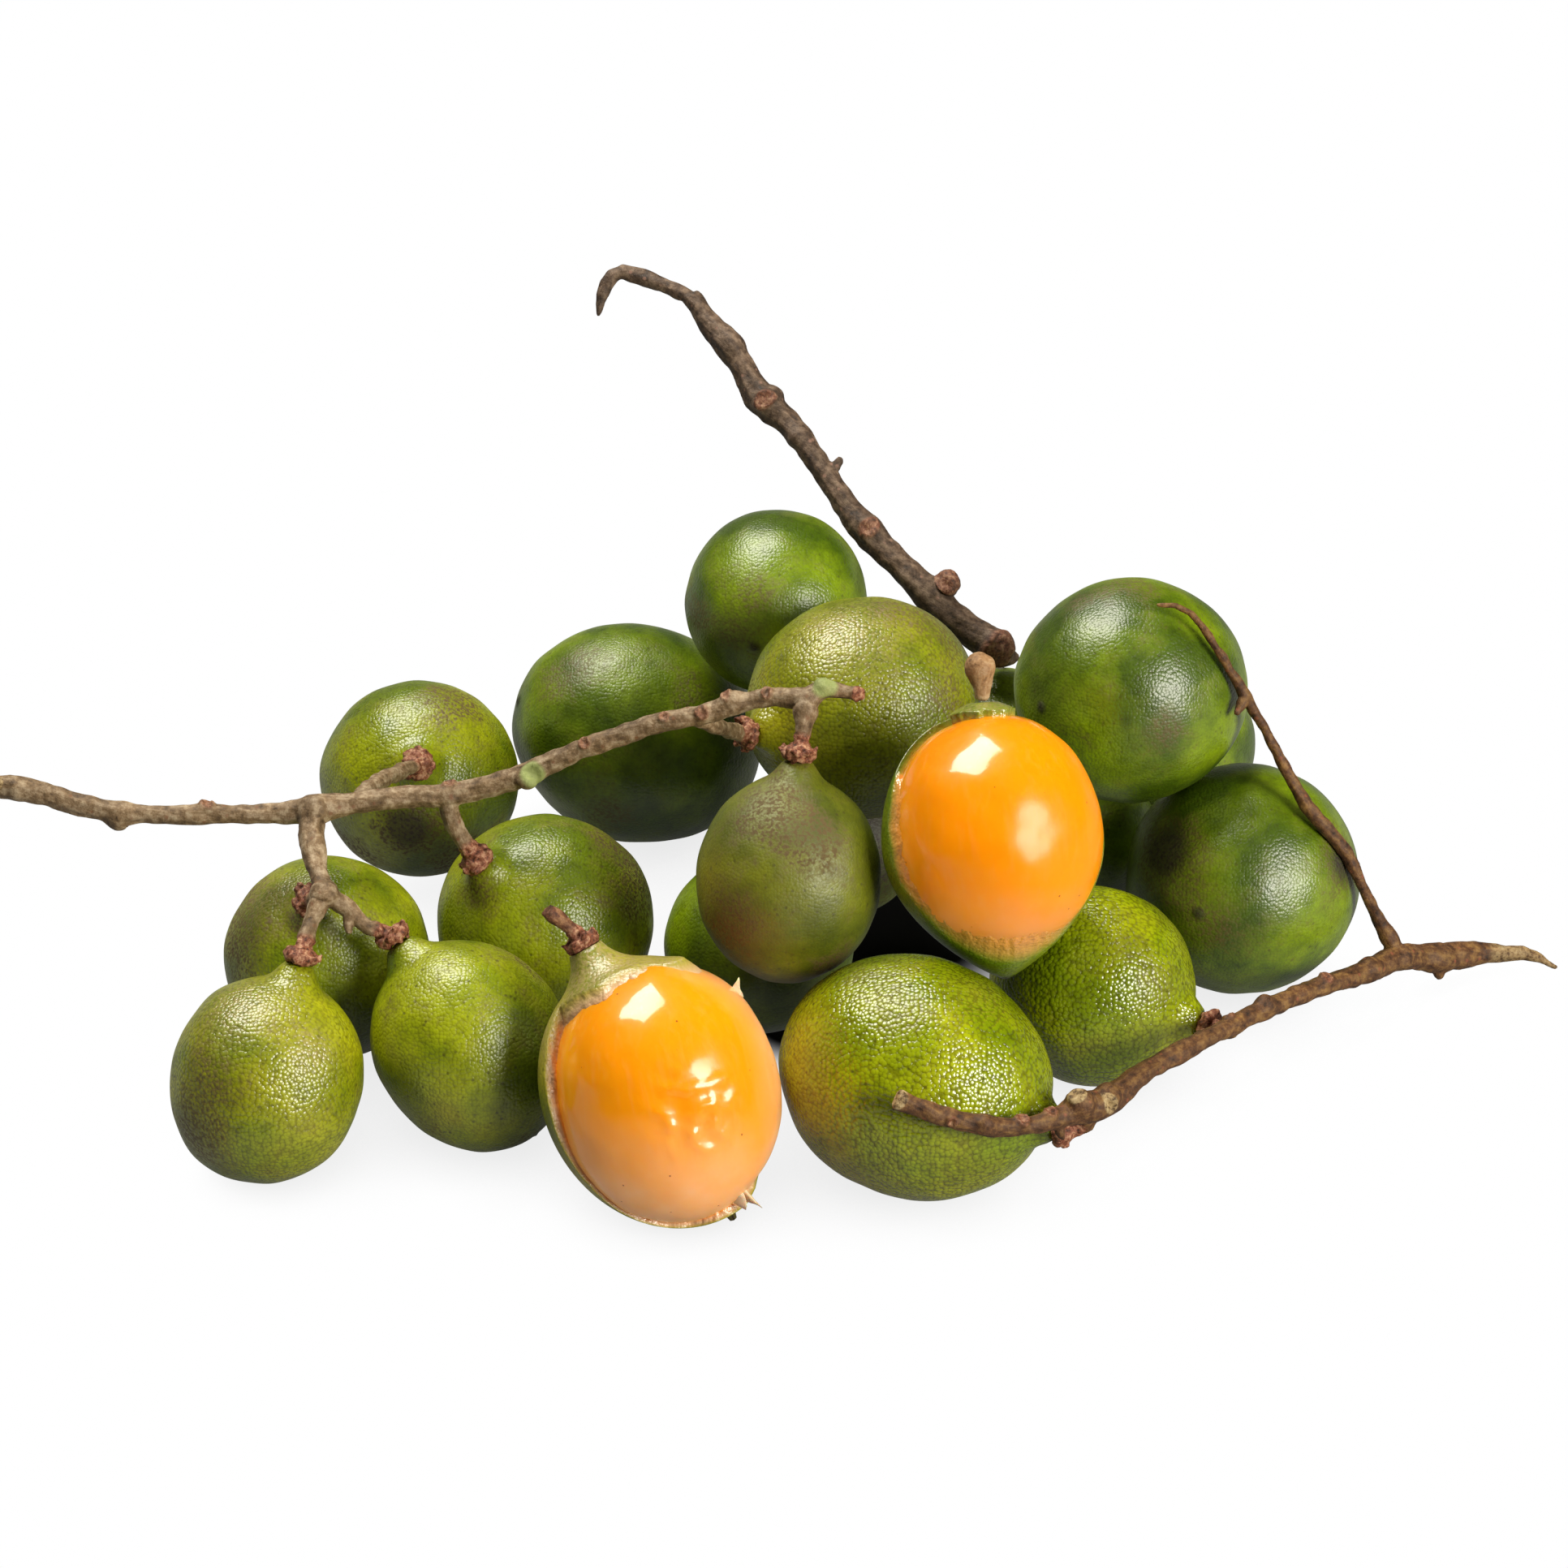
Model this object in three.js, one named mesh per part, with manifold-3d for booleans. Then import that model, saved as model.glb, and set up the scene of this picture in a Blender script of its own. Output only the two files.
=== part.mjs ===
// A bunch of mamoncillos lying on a table: three fruiting twigs, eighteen whole fruits
// and two fruits with half of the skin peeled away. Millimetres, +Z up, front towards -Y.
import * as THREE from "three";
import { mergeVertices } from "three/addons/utils/BufferGeometryUtils.js";
import Module from "manifold-3d";

const wasm = await Module();
wasm.setup();

// ---- Driving dimensions (mm) ----
const TABLE_Z = 0;
const PRESSED = 0.25; // a fruit on the table is flattened by this much where it rests
const HEAP_SHIFT_X = -2; // moves the middle of the heap over the origin
const HEAP_SHIFT_Y = -4.4;
const CLEARANCE = 0.3; // between pieces that touch in reality
const NECK_HEIGHT = 2.2; // how far the stem end rises over the round body
const NECK_RADIUS = 1.8;
const CUP_RADIUS = 2.5; // calyx cup round the stem end
const CUP_HEIGHT = 2.0;
const SKIN_AROUND = 16; // facets round a whole fruit
const SKIN_ROWS = 8; // rows of facets from the blossom end to the shoulder
const OPENED_AROUND = 20;
const OPENED_ROWS = 10;
const MAIN_SIDES = 7; // facets round a twig
const SIDE_SIDES = 6; // facets round a fruit stalk

// Whole fruits: middle, half-width, half-length, direction of the stem end. A fruit that
// lies on the table has no height here: it is let down until it rests.
const LEFT_TWIG_FRUITS = [
  { at: [-70.7, -50.4], wide: 13.3, long: 14.6, stem: [0.28, 0.42, 0.86] },
  { at: [-43.2, -42.9], wide: 13.4, long: 15.4, stem: [-0.57, 0.34, 0.75] },
  { at: [-65.2, -22], wide: 14.7, long: 15.1, stem: [-0.03, -0.5, 0.86] },
  { at: [-34.5, -14.5], wide: 15.7, long: 15.8, stem: [-0.46, -0.36, 0.79] },
  { at: [-55.2, 18.5, 19.4], wide: 15, long: 15.2, stem: [0.08, -0.78, 0.62] },
  { at: [11.5, 5, 40], wide: 16.3, long: 17.7, stem: [-0.81, -0.57, 0.13] },
  { at: [0.6, -31.6, 34.4], wide: 13, long: 14.6, stem: [0.08, 0.33, 0.94] },
];
const RIGHT_TWIG_FRUITS = [
  { at: [17.8, -52.7], wide: 16.5, long: 19.3, stem: [0.87, -0.49, -0.03] },
  { at: [43.8, -28], wide: 14.2, long: 14.8, stem: [0.85, -0.51, -0.03] },
];
const BACK_TWIG_FRUITS = [
  { at: [34, 38.5], wide: 12.3, long: 12.8, stem: [0, 0.1, 1] },
];
const LOOSE_FRUITS = [
  { at: [-22.8, 36.5], wide: 17, long: 19.8, stem: [-0.98, -0.07, 0.16], neck: 0.6 },
  { at: [-1.2, 34, 41.4], wide: 13.9, long: 14.7, stem: [0.2, 0.98, -0.02] },
  { at: [50, 2.6, 44.3], wide: 16.4, long: 17.2, stem: [0.8, 0.57, -0.18] },
  { at: [67.2, -5], wide: 17, long: 18, stem: [0.45, 0.86, -0.24] },
  { at: [-3.5, -15.6], wide: 13.2, long: 14, stem: [0.95, 0.2, 0.2] },
  { at: [60.3, 38], wide: 13.5, long: 14.3, stem: [0.3, 0.95, 0] },
  { at: [44.5, 15.5], wide: 12, long: 12.4, stem: [-0.95, -0.2, 0.2] },
  { at: [8.6, 13.4], wide: 12, long: 12.6, stem: [0.3, 0.95, 0] },
];

// Opened fruits. The skin is peeled off on the side that faces `open`.
const TOP_FRUIT = {
  at: [28.7, -33.4, 41.7],
  wide: 15.4,
  long: 18.5,
  blossom: 18.9, // the blossom end tapers to a point
  neckHeight: 0.5,
  neckRadius: 2,
  stem: [-0.09, 0.5, 0.86],
  open: [0.2, -0.77, 0.6],
  openAt: 2,
  collarFrom: 30, // beyond the stem end: no collar of skin is left
  pulpAt: [0.2, -0.3, 1.5],
  pulpWide: 14.5,
  pulpLong: 16.2,
  pulpStem: [-0.09, 0.5, 0.86],
};
const FRONT_FRUIT = {
  at: [-16.2, -58],
  wide: 16.2,
  long: 18.9,
  blossom: 18.8,
  neckHeight: 3,
  neckRadius: 2.4,
  stem: [-0.48, 0.44, 0.76],
  open: [0.35, -0.7, 0.62],
  openAt: 0.5,
  collarFrom: 15.5, // skin stays on round the stem end
  pulpAt: [0.5, -0.6, 0.6],
  pulpWide: 15.4,
  pulpLong: 17.8,
  pulpStem: [-0.22, 0.47, 0.85],
};

// Twigs: stations along the middle of the wood, as [x, y, z, radius].
const LEFT_TWIG_WOOD = [
  [-111, -20.5, 42.6, 1.5],
  [-104, -21, 41.8, 1.6],
  [-98, -21.9, 40.2, 1.6],
  [-92.3, -22.5, 39.4, 1.4],
  [-86.6, -22.6, 39.1, 1.2],
  [-80.5, -22.1, 38.9, 1.5],
  [-75.5, -21.7, 38.6, 1.3],
  [-70, -21.2, 38.5, 1.5],
  [-66, -20.6, 38.6, 1.9],
  [-61, -19.7, 39, 1.6],
  [-56, -18.9, 39.4, 1.6],
  [-50.8, -18.3, 39.4, 1.6],
  [-47.4, -17.7, 39.3, 1.8],
  [-41.7, -17.6, 40.5, 1.6],
  [-36, -17.9, 42.9, 1.6],
  [-29.3, -18, 46.5, 1.4],
  [-21.7, -18.3, 49.8, 1.4],
  [-17.9, -18.5, 51.4, 1.5],
  [-11.1, -19.1, 53.3, 1.4],
  [-3.7, -19.3, 55.8, 1.2],
  [0.1, -19.9, 56.6, 1.3],
  [3, -21, 56.8, 1.6],
  [5.7, -20.2, 58.1, 1.4],
  [8.2, -20.4, 57.7, 0.9],
  [10.7, -20.6, 57.4, 0.7],
];
const RIGHT_TWIG_WOOD = [
  [14.7, -70.2, 25.4, 1.4],
  [18.5, -70.8, 24, 1.3],
  [22.8, -71, 22.6, 1.3],
  [27.1, -70.5, 21.1, 1.3],
  [31.4, -68.9, 20.1, 1.2],
  [35.3, -67, 19.5, 1.3],
  [39.2, -64, 19.2, 1.9],
  [43.3, -61, 18.2, 2],
  [47.4, -56.2, 18.4, 1.5],
  [51.1, -52.2, 18.1, 1.4],
  [54.7, -48.9, 17.8, 1.5],
  [59.6, -44, 17.1, 1.3],
  [67.3, -36.1, 15.6, 1.4],
  [72.5, -31, 14.3, 1.4],
  [77.8, -26.4, 13.2, 1.4],
  [83.3, -21.2, 11.2, 1.5],
  [89.2, -15.1, 9.7, 2],
  [93.9, -10.9, 6.9, 1.9],
  [99.4, -7.5, 4.8, 2.2],
  [103.4, -5.6, 4.1, 1.7],
  [106, -4.9, 3.2, 1.3],
  [110.4, -4, 2.8, 1.1],
  [112.8, -4.5, 2, 0.6],
  [115, -5.2, 1, 0.3],
];
const RIGHT_SIDE_BRANCH = [
  [89.2, -14.8, 10.2, 1.6],
  [86.2, -13.2, 15.2, 1],
  [84.4, -13.3, 18.6, 0.8],
  [82.9, -13.3, 21.9, 0.8],
  [80.8, -12.2, 25.9, 1],
  [77.6, -12, 30, 1.1],
  [75, -11.2, 32.9, 1.1],
  [71.6, -8.9, 38, 0.8],
  [68.5, -7.2, 43.5, 0.7],
  [65, -6.2, 49.4, 0.8],
  [61.3, -5.4, 55.3, 0.6],
  [57.7, -3.6, 60, 0.5],
  [55.8, -3.3, 61.5, 0.4],
  [52.3, -3.2, 61.7, 0.3],
];
const BACK_TWIG_WOOD = [
  [32.8, 37.4, 31.2, 2.2],
  [29.1, 38.6, 33.3, 2.1],
  [24.3, 40.7, 36.5, 2.2],
  [20.6, 42.8, 39.8, 2],
  [16.2, 46.1, 43.1, 2],
  [12.5, 48.8, 45.7, 2.3],
  [9.3, 52.1, 49, 1.9],
  [3.7, 58.3, 55.2, 1.8],
  [-0.1, 62.6, 58.2, 2],
  [-3.5, 64.8, 59.9, 2.4],
  [-5.8, 68, 63.2, 2],
  [-9, 71.4, 66.7, 2.1],
  [-12.2, 75.3, 69.2, 1.8],
  [-14.7, 78.2, 71.8, 1.5],
];
const DRY_BRACT = [
  [-14.7, 78.2, 71.8, 1.4],
  [-19.1, 80, 72.9, 1.2],
  [-23.2, 81.8, 73.8, 1.5],
  [-26.3, 82.1, 74.3, 1.1],
  [-28.2, 80.9, 72.5, 1.1],
  [-29.1, 79.4, 70, 0.8],
  [-29.4, 78.4, 68.4, 0.3],
];

const heap = new THREE.Group();
heap.position.set(HEAP_SHIFT_X, HEAP_SHIFT_Y, 0);

// ---- Solids ----
const vector = (p) => new THREE.Vector3(p[0], p[1], p[2]);

function turnTo(direction) {
  const unit = vector(direction).normalize();
  return new THREE.Quaternion().setFromUnitVectors(new THREE.Vector3(0, 1, 0), unit);
}

// A three.js geometry as a closed manifold-3d solid that faces out.
function solid(geometry) {
  geometry.deleteAttribute("normal");
  geometry.deleteAttribute("uv");
  const merged = mergeVertices(geometry, 1e-3);
  const corners = merged.index.array;
  const kept = [];
  for (let i = 0; i < corners.length; i += 3) {
    const [a, b, c] = [corners[i], corners[i + 1], corners[i + 2]];
    if (a !== b && b !== c && c !== a) kept.push(a, b, c);
  }
  const points = merged.attributes.position.array;
  const build = (faces) =>
    new wasm.Manifold(
      new wasm.Mesh({
        numProp: 3,
        vertProperties: points,
        triVerts: new Uint32Array(faces),
      }),
    );
  const made = build(kept);
  if (made.volume() > 0) return made;
  return build(kept.reverse());
}

function geometryOf(body) {
  const mesh = body.getMesh();
  const geometry = new THREE.BufferGeometry();
  const points = new THREE.BufferAttribute(mesh.vertProperties, 3);
  geometry.setAttribute("position", points);
  geometry.setIndex(new THREE.BufferAttribute(mesh.triVerts, 1));
  geometry.computeVertexNormals();
  return geometry;
}

function addPiece(name, body, at, colour, roughness) {
  const material = new THREE.MeshStandardMaterial({ color: colour, roughness });
  const mesh = new THREE.Mesh(geometryOf(body), material);
  mesh.name = name;
  mesh.position.set(at[0], at[1], at[2]);
  heap.add(mesh);
}

const union = (bodies) => bodies.reduce((all, next) => all.add(next)).simplify(0.02);

// A turned body about +Y, turned so that +Y points along `direction`.
function turned(profile, sides, direction) {
  const geometry = new THREE.LatheGeometry(profile, sides);
  geometry.applyQuaternion(turnTo(direction));
  return solid(geometry);
}

// Everything further along `direction` than `from`.
function beyond(direction, from) {
  const half = 60;
  const geometry = new THREE.BoxGeometry(2 * half, 2 * half, 2 * half);
  geometry.translate(0, half + from, 0);
  geometry.applyQuaternion(turnTo(direction));
  return solid(geometry);
}

// Lets a fruit down onto the table if its height is still open.
function letDown(body, fruit) {
  if (fruit.at.length === 2) fruit.at[2] = TABLE_Z - body.boundingBox().min[2] - PRESSED;
}

// What lies under the table is cut away, which leaves the small flat the fruit rests on.
function restOnTable(body, at) {
  return body.subtract(beyond([0, 0, -1], at[2] - TABLE_Z));
}

// ---- Fruits ----
// Round body with a short concave neck at the stem end, as a profile about +Y.
function fruitProfile(wide, long, neckRadius, neckHeight, rows) {
  const shoulder = THREE.MathUtils.degToRad(68);
  const body = new THREE.EllipseCurve(0, 0, wide, long, -Math.PI / 2, shoulder);
  const profile = body.getPoints(rows);
  profile[0].set(0, -long);
  const start = profile[profile.length - 1];
  const top = long + neckHeight;
  const bend = new THREE.Vector2(neckRadius + 0.8, long + 0.2);
  const neckTop = new THREE.Vector2(neckRadius, top);
  const neck = new THREE.QuadraticBezierCurve(start, bend, neckTop).getPoints(3);
  profile.push(...neck.slice(1));
  profile.push(new THREE.Vector2(0, top));
  return profile;
}

function addWholeFruit(name, fruit, colour) {
  const neck = fruit.neck ?? NECK_HEIGHT;
  const profile = fruitProfile(fruit.wide, fruit.long, NECK_RADIUS, neck, SKIN_ROWS);
  const body = turned(profile, SKIN_AROUND, fruit.stem);
  letDown(body, fruit);
  addPiece(name, restOnTable(body, fruit.at), fruit.at, colour, 0.45);
}

function stemPoint(fruit, past) {
  const reach = fruit.long + NECK_HEIGHT + past;
  return vector(fruit.at).addScaledVector(vector(fruit.stem).normalize(), reach);
}

// ---- Opened fruits ----
// The stem half is round; the blossom half may taper to a blunt point.
function skinProfile(fruit) {
  const up = fruitProfile(
    fruit.wide,
    fruit.long,
    fruit.neckRadius,
    fruit.neckHeight,
    2 * OPENED_ROWS,
  ).filter((p) => p.y > 0.5);
  const down = new THREE.CubicBezierCurve(
    new THREE.Vector2(0.8, -fruit.blossom + 0.2),
    new THREE.Vector2(0.44 * fruit.wide, -0.84 * fruit.blossom),
    new THREE.Vector2(fruit.wide, -0.44 * fruit.blossom),
    new THREE.Vector2(fruit.wide, 0),
  ).getPoints(OPENED_ROWS);
  return [new THREE.Vector2(0, -fruit.blossom), ...down, ...up];
}

function roundSkinProfile(fruit) {
  return fruitProfile(
    fruit.wide,
    fruit.long,
    fruit.neckRadius,
    fruit.neckHeight,
    2 * OPENED_ROWS,
  );
}

function pulpBody(fruit, grow) {
  const geometry = new THREE.SphereGeometry(1, OPENED_AROUND, OPENED_ROWS);
  const wide = fruit.pulpWide + grow;
  geometry.scale(wide, fruit.pulpLong + grow, wide);
  geometry.applyQuaternion(turnTo(fruit.pulpStem));
  geometry.translate(fruit.pulpAt[0], fruit.pulpAt[1], fruit.pulpAt[2]);
  return solid(geometry);
}

function addOpenedFruit(name, fruit, profile) {
  const outside = turned(profile, OPENED_AROUND, fruit.stem);
  letDown(outside, fruit);
  const collar = beyond(fruit.stem, fruit.collarFrom);
  const peeled = beyond(fruit.open, fruit.openAt).subtract(collar);
  const hollow = pulpBody(fruit, CLEARANCE);
  const skin = restOnTable(outside.subtract(hollow).subtract(peeled), fruit.at);
  const parts = skin.decompose().sort((a, b) => b.volume() - a.volume());
  addPiece(name + "_skin", parts[0], fruit.at, 0x5c8a1e, 0.45);
  addPiece(name + "_pulp", pulpBody(fruit, 0), fruit.at, 0xf59a1e, 0.15);
}

// ---- Wood ----
// A round limb through the stations: a thin rod is swept along their curve and every
// section is then swollen to the radius that belongs there.
function limb(stations, sides, rounded = true) {
  const thin = 0.05;
  const path = new THREE.CatmullRomCurve3(stations.map(vector), false, "centripetal");
  const steps = 2 * (stations.length - 1);
  const section = new THREE.Shape();
  for (let i = 0; i < sides; i++) {
    const angle = (2 * Math.PI * i) / sides;
    const x = thin * Math.cos(angle);
    const y = thin * Math.sin(angle);
    if (i === 0) section.moveTo(x, y);
    else section.lineTo(x, y);
  }
  section.closePath();
  const geometry = new THREE.ExtrudeGeometry(section, { steps, extrudePath: path });
  const middles = path.getSpacedPoints(steps);
  const radii = middles.map((_, i) => {
    const along = path.getUtoTmapping(i / steps) * (stations.length - 1);
    const before = Math.min(Math.floor(along), stations.length - 2);
    const part = along - before;
    return THREE.MathUtils.lerp(stations[before][3], stations[before + 1][3], part);
  });
  if (rounded) radii[0] *= 0.75;
  if (rounded) radii[steps] *= 0.75;
  const points = geometry.getAttribute("position");
  const point = new THREE.Vector3();
  for (let i = 0; i < points.count; i++) {
    point.fromBufferAttribute(points, i);
    let nearest = 0;
    middles.forEach((middle, k) => {
      const closer = point.distanceTo(middle) < point.distanceTo(middles[nearest]);
      if (closer) nearest = k;
    });
    const middle = middles[nearest];
    point.sub(middle).multiplyScalar(radii[nearest] / thin).add(middle);
    points.setXYZ(i, point.x, point.y, point.z);
  }
  return solid(geometry);
}

function knot(at, radius, stretch = 1, direction = [1, 0, 0]) {
  const geometry = new THREE.SphereGeometry(radius, 7, 5);
  geometry.scale(1, stretch, 1);
  geometry.applyQuaternion(turnTo(direction));
  geometry.translate(at[0], at[1], at[2]);
  return solid(geometry);
}

// The flared calyx cup that holds the neck of a fruit, open towards the fruit.
function calyxCup(at, direction) {
  const profile = [
    new THREE.Vector2(0, 0),
    new THREE.Vector2(0.86 * CUP_RADIUS, 0),
    new THREE.Vector2(CUP_RADIUS, 0.25 * CUP_HEIGHT),
    new THREE.Vector2(0.85 * CUP_RADIUS, 0.55 * CUP_HEIGHT),
    new THREE.Vector2(0.55 * CUP_RADIUS, 0.9 * CUP_HEIGHT),
    new THREE.Vector2(0, CUP_HEIGHT),
  ];
  const geometry = new THREE.LatheGeometry(profile, 8);
  geometry.applyQuaternion(turnTo(direction));
  geometry.translate(at.x, at.y, at.z);
  return solid(geometry);
}

// A fruit stalk from the wood to the calyx of a fruit, with the cup at its end.
function fruitStalk(fruit, stations) {
  const seat = stemPoint(fruit, CLEARANCE);
  const inside = stemPoint(fruit, 0.6 * CUP_HEIGHT);
  const wood = limb([...stations, [inside.x, inside.y, inside.z, 1.3]], SIDE_SIDES);
  return [wood, calyxCup(seat, fruit.stem)];
}

function leftTwig() {
  const [first, second, third, fourth, fifth, sixth, seventh] = LEFT_TWIG_FRUITS;
  const fork = [-63.2, -34.3, 33.6, 1.5];
  return union([
    limb(LEFT_TWIG_WOOD, MAIN_SIDES, false),
    knot([-66, -21.2, 38.6], 2.3),
    limb(
      [
        [-65.9, -21.5, 38.6, 1.7],
        [-65.8, -25.3, 36.6, 1.7],
        [-65.1, -28.5, 35.3, 1.5],
        [-63.8, -31.7, 34.3, 1.2],
        fork,
      ],
      SIDE_SIDES,
    ),
    knot([-63.2, -34.3, 33.6], 2),
    ...fruitStalk(first, [fork, [-64.7, -37.9, 31.6, 1.2]]),
    ...fruitStalk(second, [fork, [-60.1, -34.6, 31.6, 1.2], [-57.7, -36, 29.6, 1]]),
    ...fruitStalk(third, [fork, [-64.7, -33.4, 31.9, 1.2]]),
    limb([[-60.1, -34.9, 31.2, 0.9], [-59.9, -37.2, 29, 0.6]], SIDE_SIDES),
    ...fruitStalk(fourth, [[-47.4, -18.1, 38.8, 1.6], [-46.4, -19.1, 35.3, 1.3]]),
    ...fruitStalk(fifth, [[-59.8, -19, 39.3, 1.5], [-57.6, -8.3, 35.9, 1.2]]),
    ...fruitStalk(sixth, [[-12.5, -19.2, 52.6, 1.2], [-8.9, -14.5, 48.3, 1.1]]),
    ...fruitStalk(seventh, [[3, -21, 56.8, 1.6], [3, -23.2, 55.1, 1]]),
    limb([[-97, -22.1, 39.6, 0.9], [-92.2, -22.8, 37.6, 0.5]], SIDE_SIDES),
    knot([-36, -19.2, 42.6], 1.3),
    knot([5.4, -20.8, 58.8], 1.1),
  ]);
}

function rightTwig() {
  const [first, second] = RIGHT_TWIG_FRUITS;
  return union([
    limb(RIGHT_TWIG_WOOD, MAIN_SIDES, false),
    limb(RIGHT_SIDE_BRANCH, SIDE_SIDES),
    knot([39, -64.8, 20.6], 1.9),
    knot([43.2, -61.6, 19.4], 2),
    knot([89.2, -15.1, 9.7], 2.1),
    ...fruitStalk(first, [[40.3, -63.1, 19, 1.5], [40, -63.2, 16.2, 1.4]]),
    ...fruitStalk(second, [[62.5, -41, 16.4, 1.4], [61.2, -40, 14.6, 1.3]]),
    limb([[65.7, -6.3, 49, 0.7], [63.9, -8.8, 47.1, 0.6]], SIDE_SIDES),
    limb([[96, -9.4, 6.2, 1.3], [96.5, -11, 3.2, 0.6]], SIDE_SIDES),
    limb([[36, -66.8, 19, 0.8], [37, -67, 16.4, 0.5]], SIDE_SIDES),
  ]);
}

function backTwig() {
  const [fruit] = BACK_TWIG_FRUITS;
  return union([
    limb(BACK_TWIG_WOOD, MAIN_SIDES, false),
    limb(DRY_BRACT, SIDE_SIDES),
    knot([33, 37.4, 31.2], 2.4),
    knot([-2.7, 64.7, 60], 2.5),
    ...fruitStalk(fruit, [[33, 37.4, 31.2, 2]]),
    limb([[7, 55.3, 52.4, 1], [8.9, 56.3, 54.4, 0.7]], SIDE_SIDES),
    limb([[24.4, 41.6, 38.6, 1.2], [25.6, 42, 40.6, 0.8]], SIDE_SIDES),
  ]);
}

// Dry stalks left on the two opened fruits, from the neck of the skin outwards.
function stemSeat(fruit) {
  const reach = fruit.long + fruit.neckHeight + CLEARANCE;
  return vector(fruit.at).addScaledVector(vector(fruit.stem).normalize(), reach);
}

function topStalk() {
  const seat = stemSeat(TOP_FRUIT);
  return limb(
    [
      [seat.x, seat.y + 0.1, seat.z + 0.1, 1.3],
      [seat.x, seat.y + 0.5, seat.z + 0.9, 1],
      [seat.x, seat.y + 1.1, seat.z + 1.9, 1.3],
      [seat.x, seat.y + 1.9, seat.z + 3.2, 1.4],
      [seat.x, seat.y + 2.4, seat.z + 4.2, 1.2],
    ],
    MAIN_SIDES,
  );
}

function frontStalk() {
  const seat = stemSeat(FRONT_FRUIT);
  return union([
    calyxCup(seat, FRONT_FRUIT.stem),
    limb(
      [
        [seat.x, seat.y + 0.4, seat.z + 0.6, 1.4],
        [seat.x - 1.6, seat.y + 0.4, seat.z + 2.4, 1],
        [seat.x - 3.2, seat.y + 0.3, seat.z + 4.2, 1.1],
        [seat.x - 4.8, seat.y + 0.3, seat.z + 5.8, 1.4],
      ],
      MAIN_SIDES,
    ),
  ]);
}

// ---- The heap ----
LEFT_TWIG_FRUITS.forEach((fruit, i) => {
  addWholeFruit(`left_twig_fruit_${i + 1}`, fruit, 0x6f8f1f);
});
RIGHT_TWIG_FRUITS.forEach((fruit, i) => {
  addWholeFruit(`right_twig_fruit_${i + 1}`, fruit, 0x678c1c);
});
addWholeFruit("back_twig_fruit", BACK_TWIG_FRUITS[0], 0x4d7d1a);
LOOSE_FRUITS.forEach((fruit, i) => {
  addWholeFruit(`loose_fruit_${i + 1}`, fruit, 0x44771a);
});
addOpenedFruit("opened_fruit_top", TOP_FRUIT, skinProfile(TOP_FRUIT));
addOpenedFruit("opened_fruit_front", FRONT_FRUIT, roundSkinProfile(FRONT_FRUIT));
addPiece("opened_fruit_top_stalk", topStalk(), [0, 0, 0], 0x9a7a55, 0.8);
addPiece("opened_fruit_front_stalk", frontStalk(), [0, 0, 0], 0x6b4636, 0.8);
addPiece("left_twig", leftTwig(), [0, 0, 0], 0x9b8468, 0.8);
addPiece("right_twig", rightTwig(), [0, 0, 0], 0x7d5f45, 0.8);
addPiece("back_twig", backTwig(), [0, 0, 0], 0x6a5844, 0.8);

export default heap;
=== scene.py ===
# %% [markdown]
# # A bunch of mamoncillos on a table
# Three cut twigs lie across a heap of small green fruits, and two of the fruits are peeled
# open so that the orange pulp shows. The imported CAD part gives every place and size; this
# lesson builds a finer skin, pulp and bark over it, piece by piece.
#
# The first cell loads the CAD frame. Everything is in metres, with the table at height 0.

# %% Load the frame
import heapq
import math
import random

import bmesh
import bpy
import numpy as np
from mathutils import Matrix, Vector, noise
from mathutils.bvhtree import BVHTree


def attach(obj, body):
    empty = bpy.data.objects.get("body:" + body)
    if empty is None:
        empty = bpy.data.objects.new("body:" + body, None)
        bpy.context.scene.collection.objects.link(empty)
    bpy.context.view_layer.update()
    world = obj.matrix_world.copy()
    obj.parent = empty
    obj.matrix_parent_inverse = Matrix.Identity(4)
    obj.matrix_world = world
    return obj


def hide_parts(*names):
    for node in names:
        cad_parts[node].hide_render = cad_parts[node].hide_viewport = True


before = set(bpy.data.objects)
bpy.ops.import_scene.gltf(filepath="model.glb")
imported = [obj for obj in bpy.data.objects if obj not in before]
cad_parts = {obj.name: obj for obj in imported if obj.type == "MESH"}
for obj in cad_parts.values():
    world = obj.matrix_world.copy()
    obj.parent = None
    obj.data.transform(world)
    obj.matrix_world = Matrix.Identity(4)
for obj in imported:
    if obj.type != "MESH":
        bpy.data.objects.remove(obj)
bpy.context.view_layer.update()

MM = 0.001

# %% [markdown]
# ## Camera
# A product shot of a low heap: a short telephoto lens half a metre away, looking down at
# 32 degrees. The long lens keeps the front fruits from looking swollen.

# %% Camera
AIM = Vector((-2.0, -4.4, 30.0)) * MM
AWAY = 540 * MM
LOOK_DOWN = math.radians(32)
back = Vector((0, -math.cos(LOOK_DOWN), math.sin(LOOK_DOWN)))
camera_data = bpy.data.cameras.new("camera")
camera_data.lens = 85
camera_data.sensor_width = 36
camera_data.clip_start = 0.01
camera = bpy.data.objects.new("camera", camera_data)
camera.location = AIM + AWAY * back
camera.rotation_euler = (math.pi / 2 - LOOK_DOWN, 0, 0)
bpy.context.scene.collection.objects.link(camera)
bpy.context.scene.camera = camera
print("camera at mm", [round(1000 * x) for x in camera.location])

# %% [markdown]
# ## Nodes and colours
# Every material below is a small tree of nodes. One function adds a node, sets it and
# links it; one function turns an sRGB hex colour to the linear numbers that Blender wants;
# one turns a real size in millimetres to the scale of a pattern.


# %% Nodes and colours
def linear(hex_colour):
    channels = [int(hex_colour[i : i + 2], 16) / 255 for i in (1, 3, 5)]
    bright = [c / 12.92 if c <= 0.04045 else ((c + 0.055) / 1.055) ** 2.4 for c in channels]
    return (*bright, 1.0)


def per(size_mm):
    return 1000 / size_mm


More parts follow.
